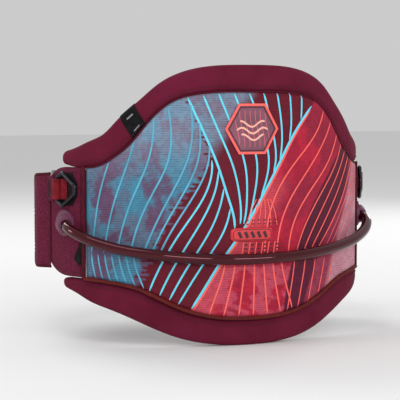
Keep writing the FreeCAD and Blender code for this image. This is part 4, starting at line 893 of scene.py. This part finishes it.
marks, frame_line = Strokes(on_badge), Strokes(on_badge)
for i in range(5):
    x = -12.4 + 6.2 * i
    marks.add([(x - 1.3, BADGE_Z - 2.8), (x + 1.3, BADGE_Z + 2.8)], 3.0, 0.08)
a, o = squircle(60, 6.0)
frame_line.add(np.stack([a[:-1] * 18.6, BADGE_Z + o[:-1] * 4.7], -1), 0.6, 0.06, closed=True)
marks.done("badge_bars", BADGE_MARK, "badge_rubber")
frame_line.done("badge_line", BADGE_MARK, "badge_rubber")

LABEL_S, LABEL_Z, LABEL_SLANT, HEM_SLOPE = float(arc_of(32.5)), 89.5 * MM, 0.95, 0.72


def on_hem(share, along, lift):
    """Points round the top hem's section at the label; along is in millimetres from the label's middle."""
    across, out = squircle(200, 3.0)
    turn = np.linspace(0, 1, 201)
    a, o = np.interp(share, turn, across), np.interp(share, turn, out)
    s = LABEL_S + along * MM * HEM_SLOPE
    for _ in range(12):  # the label's slant and the hem's height at it depend on each other
        high, low = top_high(s), top_low(s) - 0.001
        z = (high + low) / 2 + (high - low) / 2 * a
        s = LABEL_S + (along * MM + (z - LABEL_Z) * LABEL_SLANT) * HEM_SLOPE
    z = (high + low) / 2 + ((high - low) / 2 + lift * MM) * a
    return at(bearing_of(s), z, HEM_STANDOFF + (HEM_FAT + lift * MM) * o)


def hem_label():
    """The woven label folded over the top hem."""
    share, along = np.meshgrid(np.linspace(0.16, 0.86, 90), np.linspace(-14.5, 14.5, 30), indexing="ij")
    obj = slab("hem_label_cloth", on_hem(share, along, 0.75), on_hem(share, along, 0.05), LABEL,
               np.stack([along * MM, share * 0.07], -1))
    stand_in(obj, "label_cloth", "hem_label")
    mark = Strokes(lambda s, z, lift: on_hem(z / MM, s / MM, 0.78 + lift / MM))
    for share in (0.45, 0.56):
        mark.add([(-6.0, share), (6.0, share)], 0.016, 0.1)
    mark.done("hem_label_mark", LABEL_MARK, "label_cloth")


hem_label()

# ---------------------------------------------------------------- lining
QUILT = 26 * MM


def lining():
    """The soft inner face, pressed into rows of cells."""
    across, z = panel_grid(130, 260)
    lines = [np.abs(np.sin(math.pi * (across + z * slope) / QUILT)) for slope in (0.58, -0.58)]
    edge_share = np.clip(inside_panel(across, z) / 0.006, 0, 1)
    puff = np.clip(np.minimum(*lines) * 2.4, 0, 1) ** 0.6 * edge_share ** 0.5
    bearing = bearing_of(across)
    obj = slab("lining_soft", at(bearing, z, -0.0114), at(bearing, z, -0.0148 - 0.0022 * puff), LINING,
               np.stack([across, z], -1))
    stand_in(obj, "lining", "inner_lining", fill=0.5)


lining()

# ---------------------------------------------------------------- hips and front, on both sides
WING_HIGH = smooth((57.6, 64, 70, 75, 80, 86, 93, 101, 112, 140, 152, 157),
                   np.array((46.4, 46.5, 46.4, 46.0, 44, 40, 35, 31, 30, 30, 29.5, 27)) * MM)
WING_LOW = smooth((57.6, 65, 71, 78, 86, 94, 101, 112, 140, 152, 157),
                  np.array((-54.6, -54.5, -54.3, -52.8, -48, -41, -34, -30.5, -30, -29.5, -27)) * MM)
BUCKLE_BEARING, BUCKLE_BASE, STRAP_RISE, STRAP_Z = 127.0, 0.0026, 0.0033, 0.016
STRAP_WIDTH, STRAP_THICK, KEEPER_BEARING = 0.0248, 0.0019, 104.0
RING_BEARING, RING_STANDOFF, RING_Z, ROD_REACH = 74.0, 0.0044, 0.026, 0.00305
# Where each side's straps go round a rod, and its radius: the catch frame's bar, and the bar's post.
ANCHORS = {"left": (at(144, 0.0, 0.014), 0.003), "right": (at(-138, 0.0, 0.0096), 0.0025)}


def plan_path(points, z, count=None):
    """A level path and its outward directions; with a count, it is a smooth line through the points."""
    path = resample(points, count) if count else np.asarray(points, float)
    path = np.stack([path[:, 0], path[:, 1], np.full(len(path), z)], -1)
    tangent = np.gradient(path, axis=0)
    if not count:
        tangent[0] = tangent[-1] = path[1] - path[-2]
    return path, units(np.stack([-tangent[:, 1], tangent[:, 0], 0 * tangent[:, 2]], -1))


def webbing(name, points, z, width, thick, material, slot, *nodes, count=90):
    """A strap on edge through points in plan."""
    path, out = plan_path(np.asarray(points)[:, :2], z, count)
    return stand_in(sweep(name, path, out, width, thick, material, 7.0), slot, *nodes)


def sewn_box(name, bearings, z, half, lift, material):
    """A sewn rectangle with its cross, on a tape that lies on the oval."""
    b0, b1 = bearings
    corners = [(b0, z - half), (b1, z - half), (b1, z + half), (b0, z + half), (b0, z - half), (b1, z + half)]
    line = np.concatenate([np.linspace(corners[i], corners[i + 1], 12)[:-1] for i in range(5)])
    for part, points in (("", line), ("_cross", np.linspace((b1, z - half), (b0, z + half), 12))):
        stitches(name + part, at(points[:, 0], points[:, 1], lift), normal(points[:, 0]), material,
                 0.0030, 0.0022, 0.0006)


def hip_wing(hand, side):
    """The padded wing with a row of stitches along its two edges."""
    b, t = ends(57.5, 157.0, 200, 0.048)
    fat = 0.0045 * pinch(t, 0.03) + 0.0002
    wing = bolster(f"{hand}_wing_soft", side * b, WING_LOW(b), WING_HIGH(b), -0.0046, fat, WING, 6.0)
    stand_in(wing, "wing_fabric", f"{hand}_hip_wing", fill=0.4)
    row_b = np.linspace(60, 154, 200)
    for part, z in (("top", WING_HIGH(row_b) - 0.0042), ("bottom", WING_LOW(row_b) + 0.0042)):
        stitches(f"{hand}_wing_{part}_stitches", at(side * row_b, z, 0.00005), normal(side * row_b),
                 HEM_THREAD, 0.0040, 0.0029, 0.0006)


def ring_webbing(hand, side):
    """The loop that holds the leash ring, its cuff and sewing, and the strip inside the ring."""
    def along(places):
        return [at(side * q, 0.0, h * MM) for q, h in places]

    hinge, back = at(side * RING_BEARING, 0.0, RING_STANDOFF), normal(side * (RING_BEARING - 90))
    turn = np.linspace(-0.5 * math.pi, 0.5 * math.pi, 14)[:, None]
    round_rod = hinge + ROD_REACH * (np.cos(turn) * back + np.sin(turn) * normal(side * RING_BEARING))
    tail = along([(84.5, 0.9), (80, 1.0), (77, 1.1)])
    cover = along([(77.3, 5.6), (79, 3.4), (81, 2.6), (84.5, 2.5)])
    webbing(f"{hand}_ring_webbing", np.concatenate([tail, round_rod, cover]), RING_Z, 0.019, 0.0014, RED_TAPE,
            "red_webbing", f"{hand}_ring_loop", count=120)
    webbing(f"{hand}_ring_cuff", along([(78.4, 4.6), (80.0, 4.0), (84.9, 3.6)]), RING_Z, 0.0225, 0.0012, WING,
            "wing_fabric", count=40)
    sewn_box(f"{hand}_ring_sewing", (side * 80.6, side * 84.2), RING_Z, 0.0085, 0.0044, DARK_THREAD)
    webbing(f"{hand}_ring_inner_webbing", along([(71.6, 3.4), (69.6, 2.2), (67.6, 1.3)]), RING_Z, 0.019,
            0.0012, RED_TAPE, "red_webbing", count=40)


def wing_patches(hand, side):
    """The wear pad under the ring, and a black patch of painted shade in the slot below the eyelet."""
    s0, s1 = arc_of(60.5) / MM, arc_of(76) / MM
    low_z, high_z = RING_Z / MM - 15, RING_Z / MM + 15
    shape = [(s0, low_z + 9), (s0 + 6, low_z), (s1, low_z), (s1, high_z), (s0 + 6, high_z), (s0, high_z - 9)]
    patch(f"{hand}_ring_pad", [(side * x, z) for x, z in shape], 0.6, 0.7, BELT, "black_webbing",
          f"{hand}_ring_patch")
    # Painted shade: a black patch in black webbing cloth where the slot below the eyelet opens.
    e0, e1 = arc_of(57.9) / MM, arc_of(63.2) / MM
    slot_shade = [(e0, -20), (e0, -43), (e0 + 2.5, -43.5), (e1, -37)]
    patch(f"{hand}_wing_slot", [(side * x, z) for x, z in slot_shade], 0.35, 0.5, BLACK_TAPE, "black_webbing",
          rows=16, cols=12)


def strap_set(row, z, hand, side):
    """A buckle's anchor tape, the strap through the buckle with its sewn eye, and the strap's keeper."""
    first = row == "upper"
    tape = at(side * np.linspace(97, 134, 60), 0.0, 0.00118)
    webbing(f"{row}_{hand}_anchor_tape", tape, z, 0.0245, STRAP_THICK, BLACK_TAPE, "black_webbing",
            *([f"{hand}_anchor_straps"] if first else []))
    sewn_box(f"{row}_{hand}_anchor_sewing", (side * 98, side * 100.4), z, 0.0095, 0.0022, THREAD)

    n, angle = normal(side * BUCKLE_BEARING), math.radians(side * BUCKLE_BEARING)
    along = np.array([math.cos(angle), -math.sin(angle), 0])
    origin = at(side * BUCKLE_BEARING, 0.0, BUCKLE_BASE) + n * STRAP_RISE
    inside_frame = [origin + along * side * u * MM for u in (12.0, 4.0, -5.0, -14.5)]
    rest = [at(side * q, 0.0, h * MM) for q, h in ((112.5, 5.9), (106.0, 5.5), (96.0, 5.4))]
    anchor, rod = ANCHORS[hand]
    towards_anchor = inside_frame[0] - anchor
    lead = anchor + towards_anchor / np.linalg.norm(towards_anchor) * (rod + 0.0008)
    path, out = plan_path(np.array([lead] + inside_frame + rest)[:, :2], z, 140)
    strap = sweep(f"{row}_{hand}_strap_webbing", path, out, STRAP_WIDTH, STRAP_THICK, BLACK_TAPE, 7.0)
    stand_in(strap, "black_webbing", f"{row}_{hand}_strap")
    away = out * np.sign((out * normal(side * 110)).sum(1))[:, None]
    stitches(f"{row}_{hand}_strap_tack", (path + away * 0.00105)[8:16], away[8:16], THREAD, 0.0030, 0.0022,
             0.0007)
    for part, shift in (("low", -0.0095), ("high", 0.0095)):
        line = path[60:132] + away[60:132] * 0.00098 + np.array([0, 0, shift])
        stitches(f"{row}_{hand}_strap_row_{part}", line, away[60:132], THREAD, 0.0036, 0.0024, 0.0005)

    angle = np.linspace(0, 2 * math.pi, 40)
    circle = anchor[:2] + (rod + 0.0013) * np.stack([np.cos(angle), np.sin(angle)], -1)
    path, out = plan_path(circle, z)
    eye = sweep(f"{row}_{hand}_strap_eye", path, out, STRAP_WIDTH, 0.0018, BLACK_TAPE, 7.0, closed=True)
    stand_in(eye, "black_webbing")

    a, o = squircle(48, 8.0)
    ring = at(side * KEEPER_BEARING, z + a * 0.0138, 0.00505 + o * 0.00225)
    face_out = units(a[:, None] * np.array([0, 0, 1.0]) + o[:, None] * normal(side * KEEPER_BEARING))
    keeper = sweep(f"{row}_{hand}_keeper_loop", ring, face_out, 0.0100, 0.0010, BLACK_TAPE, closed=True)
    stand_in(keeper, "black_webbing", *([f"{hand}_strap_keepers"] if first else []))


for hand, side in SIDES:
    hip_wing(hand, side)
    ring_webbing(hand, side)
    wing_patches(hand, side)
    for row, above in ROWS:
        strap_set(row, above * STRAP_Z, hand, side)

FLAP_START, FLAP_END, FLAP_CORNER, CORNER_DROP = 86.5, 112.3, 96.5, 16 * MM
FLAP_LIFT = smooth((86.5, 89.0, 92.0, 95.5, 99.0, 105.5, 112.5),
                   np.array((1.0, 1.1, 4.6, 8.3, 8.9, 8.9, 8.9)) * MM)
FLAP_HIGH = smooth((86.5, 96.0, 105.0, 112.5), np.array((39.2, 37.6, 36.5, 36.0)) * MM)
FLAP_LOW = smooth((86.5, 96.0, 105.0, 112.5), np.array((-47.6, -48.1, -47.8, -47.0)) * MM)


def flap_point(side, bearing, share, lift=0.0):
    """Points on a hip flap with round front corners; share is 0 at the lower edge and 1 at the upper."""
    q = np.clip((bearing - FLAP_CORNER) / (FLAP_END - FLAP_CORNER), 0, 1)
    drop = CORNER_DROP * (1 - np.sqrt(1 - q ** 2))
    low, high = FLAP_LOW(bearing) + drop, FLAP_HIGH(bearing) - drop
    return at(side * bearing, low + (high - low) * share, FLAP_LIFT(bearing) + lift)


def hip_flap(hand, side):
    """The cloth flap over the strap tails, with a bound edge and two rows of stitches where it is sewn on."""
    b = FLAP_START + (FLAP_END - FLAP_START) * np.sin(np.linspace(0, math.pi / 2, 70))
    bearing, share = np.meshgrid(b, np.linspace(0, 1, 50), indexing="ij")
    uv = np.stack([bearing * 0.0017, share * 0.083], -1)
    faces = [flap_point(side, bearing, share, lift) for lift in (0.0006, -0.0006)]
    flap = slab(f"{hand}_flap_cloth", *faces, WING, uv)
    stand_in(flap, "wing_fabric", f"{hand}_hip_flap")
    end = np.linspace(1, 0, 40)[1:-1]
    edge_b = np.concatenate([b, np.full(len(end), FLAP_END), b[::-1]])
    edge_share = np.concatenate([np.ones(len(b)), end, np.zeros(len(b))])
    line = resample(flap_point(side, edge_b, edge_share), 260)
    out = units((line - [side * SIDE_X, 0, 0]) * [1, 1, 0])
    stand_in(sweep(f"{hand}_flap_binding", line, out, 0.0030, 0.0020, BINDING, 2.4, count=12), "wing_fabric")
    inset_b = edge_b - 2.65 * (edge_b - FLAP_START) / (FLAP_END - FLAP_START)
    line = flap_point(side, inset_b, 0.045 + 0.91 * edge_share, 0.0007)
    stitches(f"{hand}_flap_stitches", line, normal(side * inset_b), HEM_THREAD, 0.0036, 0.0026, 0.0006)
    z = np.linspace(-0.043, 0.034, 60)
    for row, bearing in (("rear", 87.3), ("front", 89.0)):
        line = at(side * bearing, z, float(FLAP_LIFT(bearing)) + 0.0007)
        stitches(f"{hand}_flap_{row}_seam", line, np.repeat(normal(side * bearing)[None], 60, 0), HEM_THREAD,
                 0.0032, 0.0024, 0.0006)


for hand, side in SIDES:
    hip_flap(hand, side)


def closure_belt(hand, side, outer, inner, tape):
    """A soft belt from one hip to past the middle of the front, which also stands in for its touch-fastener
    tape.
    """
    b, t = ends(86.0, 194.0, 180, 0.048)
    fat = (outer - inner) / 2 * pinch(t, 0.02)
    half = 0.036 - 0.010 * (1 - pinch(t, 0.10))
    belt = bolster(f"{hand}_belt_soft", side * b, -half, half, (outer + inner) / 2, fat, BELT, 7.0)
    stand_in(belt, "belt_fabric", f"{hand}_closure_belt", tape, fill=0.3)
    row = np.linspace(88, 191, 240)
    for part, z in (("top", 0.0315), ("bottom", -0.0315)):
        for face, h, turn in (("out", outer, 1), ("in", inner, -1)):
            stitches(f"{hand}_belt_{part}_{face}", at(side * row, z, h + turn * 0.00005),
                     turn * normal(side * row), THREAD, 0.0040, 0.0028, 0.0005)


closure_belt("left", 1, -0.0097, -0.0131, "hook_tape")
closure_belt("right", -1, -0.0156, -0.0189, "loop_tape")

KNOT_RADIUS, KNOT_DEPTH = 5.8 * MM, 13 * MM


def line_knot(hand, side, *nodes):
    """The leash line's ribbed stopper knot behind a wing."""
    centre = (np.asarray(route[0]) - eyelet_axis() * KNOT_DEPTH) * [side, 1, 1]
    angle = np.linspace(0, 2 * math.pi, 31)[:, None]
    rings = []
    for tilt in np.linspace(-0.5 * math.pi, 0.5 * math.pi, 20):
        radius = KNOT_RADIUS * math.cos(tilt) * (1 + 0.06 * np.sin(5 * angle + 3 * tilt)) + 1e-5
        level = 0 * angle + KNOT_RADIUS * math.sin(tilt)
        rings.append(centre + np.concatenate([np.cos(angle) * radius, np.sin(angle) * radius, level], 1))
    stand_in(loft(f"{hand}_line_knot", rings, ROPE), "line_rope", *nodes)


line_knot("left", 1, "leash_line")
line_knot("right", -1)

# ---------------------------------------------------------------- bar pad and welds
PAD_STANDOFF, WELD_X, WELD_STANDOFF = 6.8 * MM, 75 * MM, 16 * MM
b, t = ends(180 - 25.5, 180 + 25.5, 120, 0.064)
half = (0.0245 + 0.0055 * np.clip(1 - ((b - 180) / 22) ** 2, 0, 1)) * (0.82 + 0.18 * pinch(t, 0.07))
fat = 0.0047 * pinch(t, 0.06) + 0.0003
pad = bolster("bar_pad_soft", b, -half, half, PAD_STANDOFF, fat, PAD, 3.2, body="bar")
stand_in(pad, "pad_fabric", "bar_pad", fill=0.7)
row = np.linspace(180 - 23.5, 180 + 23.5, 150)
row_half = np.interp(row, b, half)
for part, sign in (("top", 1), ("bottom", -1)):
    piping_row = at(row, sign * row_half * 0.995, PAD_STANDOFF)
    roll = sweep(f"bar_pad_{part}_piping", piping_row, normal(row), 0.0022, 0.0022, BINDING, 2.2, body="bar",
                 count=10)
    stand_in(roll, "pad_fabric")
for hand, side in SIDES:
    bearing = 180 - side * math.degrees(math.asin(WELD_X / (BACK_RADIUS + WELD_STANDOFF)))
    z = np.linspace(-0.0255, 0.0255, 90)
    bead = at(bearing + 0.12 * np.sin(z * 2400), z, WELD_STANDOFF + 0.02 * MM)
    weld = sweep(f"bar_{hand}_weld", bead, np.repeat(normal(bearing)[None], len(z), 0), 0.0026, 0.0011,
                 BAR_STEEL, 2.2, body="bar", count=14)
    stand_in(weld, "bar_steel")

# ---------------------------------------------------------------- stage
FLOOR_HALF, FLOOR_GAP = 6.0, 0.5 * MM
floor_data = bpy.data.meshes.new("floor")
low = size_before[0].z - FLOOR_GAP
corners = [(x * FLOOR_HALF, y * FLOOR_HALF, low) for x, y in ((-1, -1), (1, -1), (1, 1), (-1, 1))]
floor_data.from_pydata(corners, [], [(0, 1, 2, 3)])
floor = bpy.data.objects.new("floor", floor_data)
bpy.context.scene.collection.objects.link(floor)
floor_look = bpy.data.materials.new("floor_white")
floor_look.use_nodes = True
floor_surface = floor_look.node_tree.nodes["Principled BSDF"].inputs
floor_surface["Base Color"].default_value = (0.86, 0.86, 0.86, 1)
floor_surface["Roughness"].default_value = 0.9
floor_data.materials.append(floor_look)

world = bpy.data.worlds.new("studio")
bpy.context.scene.world = world
world.use_nodes = True
world.node_tree.nodes["Background"].inputs["Color"].default_value = (1.0, 1.0, 1.0, 1)
world.node_tree.nodes["Background"].inputs["Strength"].default_value = 0.6


def lamp(name, bearing, rise, distance, size, power, tall=None):
    """A soft box at a bearing and an elevation, aimed at the harness."""
    data = bpy.data.lights.new(name, "AREA")
    data.energy, data.size, data.shape = power, size, "RECTANGLE"
    data.size_y = tall or size
    looking(name, data, bearing, rise, distance)


lamp("key", 45, 60, 1.7, 0.6, 3.0)
lamp("left_box", 11.5, 16, 2.0, 0.80, 7.5, 0.32)
lamp("right_box", -22.5, 16, 2.0, 0.72, 6.5, 0.32)
lamp("left_side", 98, 20, 1.7, 0.35, 4.0, 0.40)
lamp("right_side", -128, 20, 1.7, 0.35, 4.0, 0.40)
lamp("front_key", 165, 45, 1.8, 0.8, 9.0)
bpy.context.scene.view_settings.view_transform = "Standard"
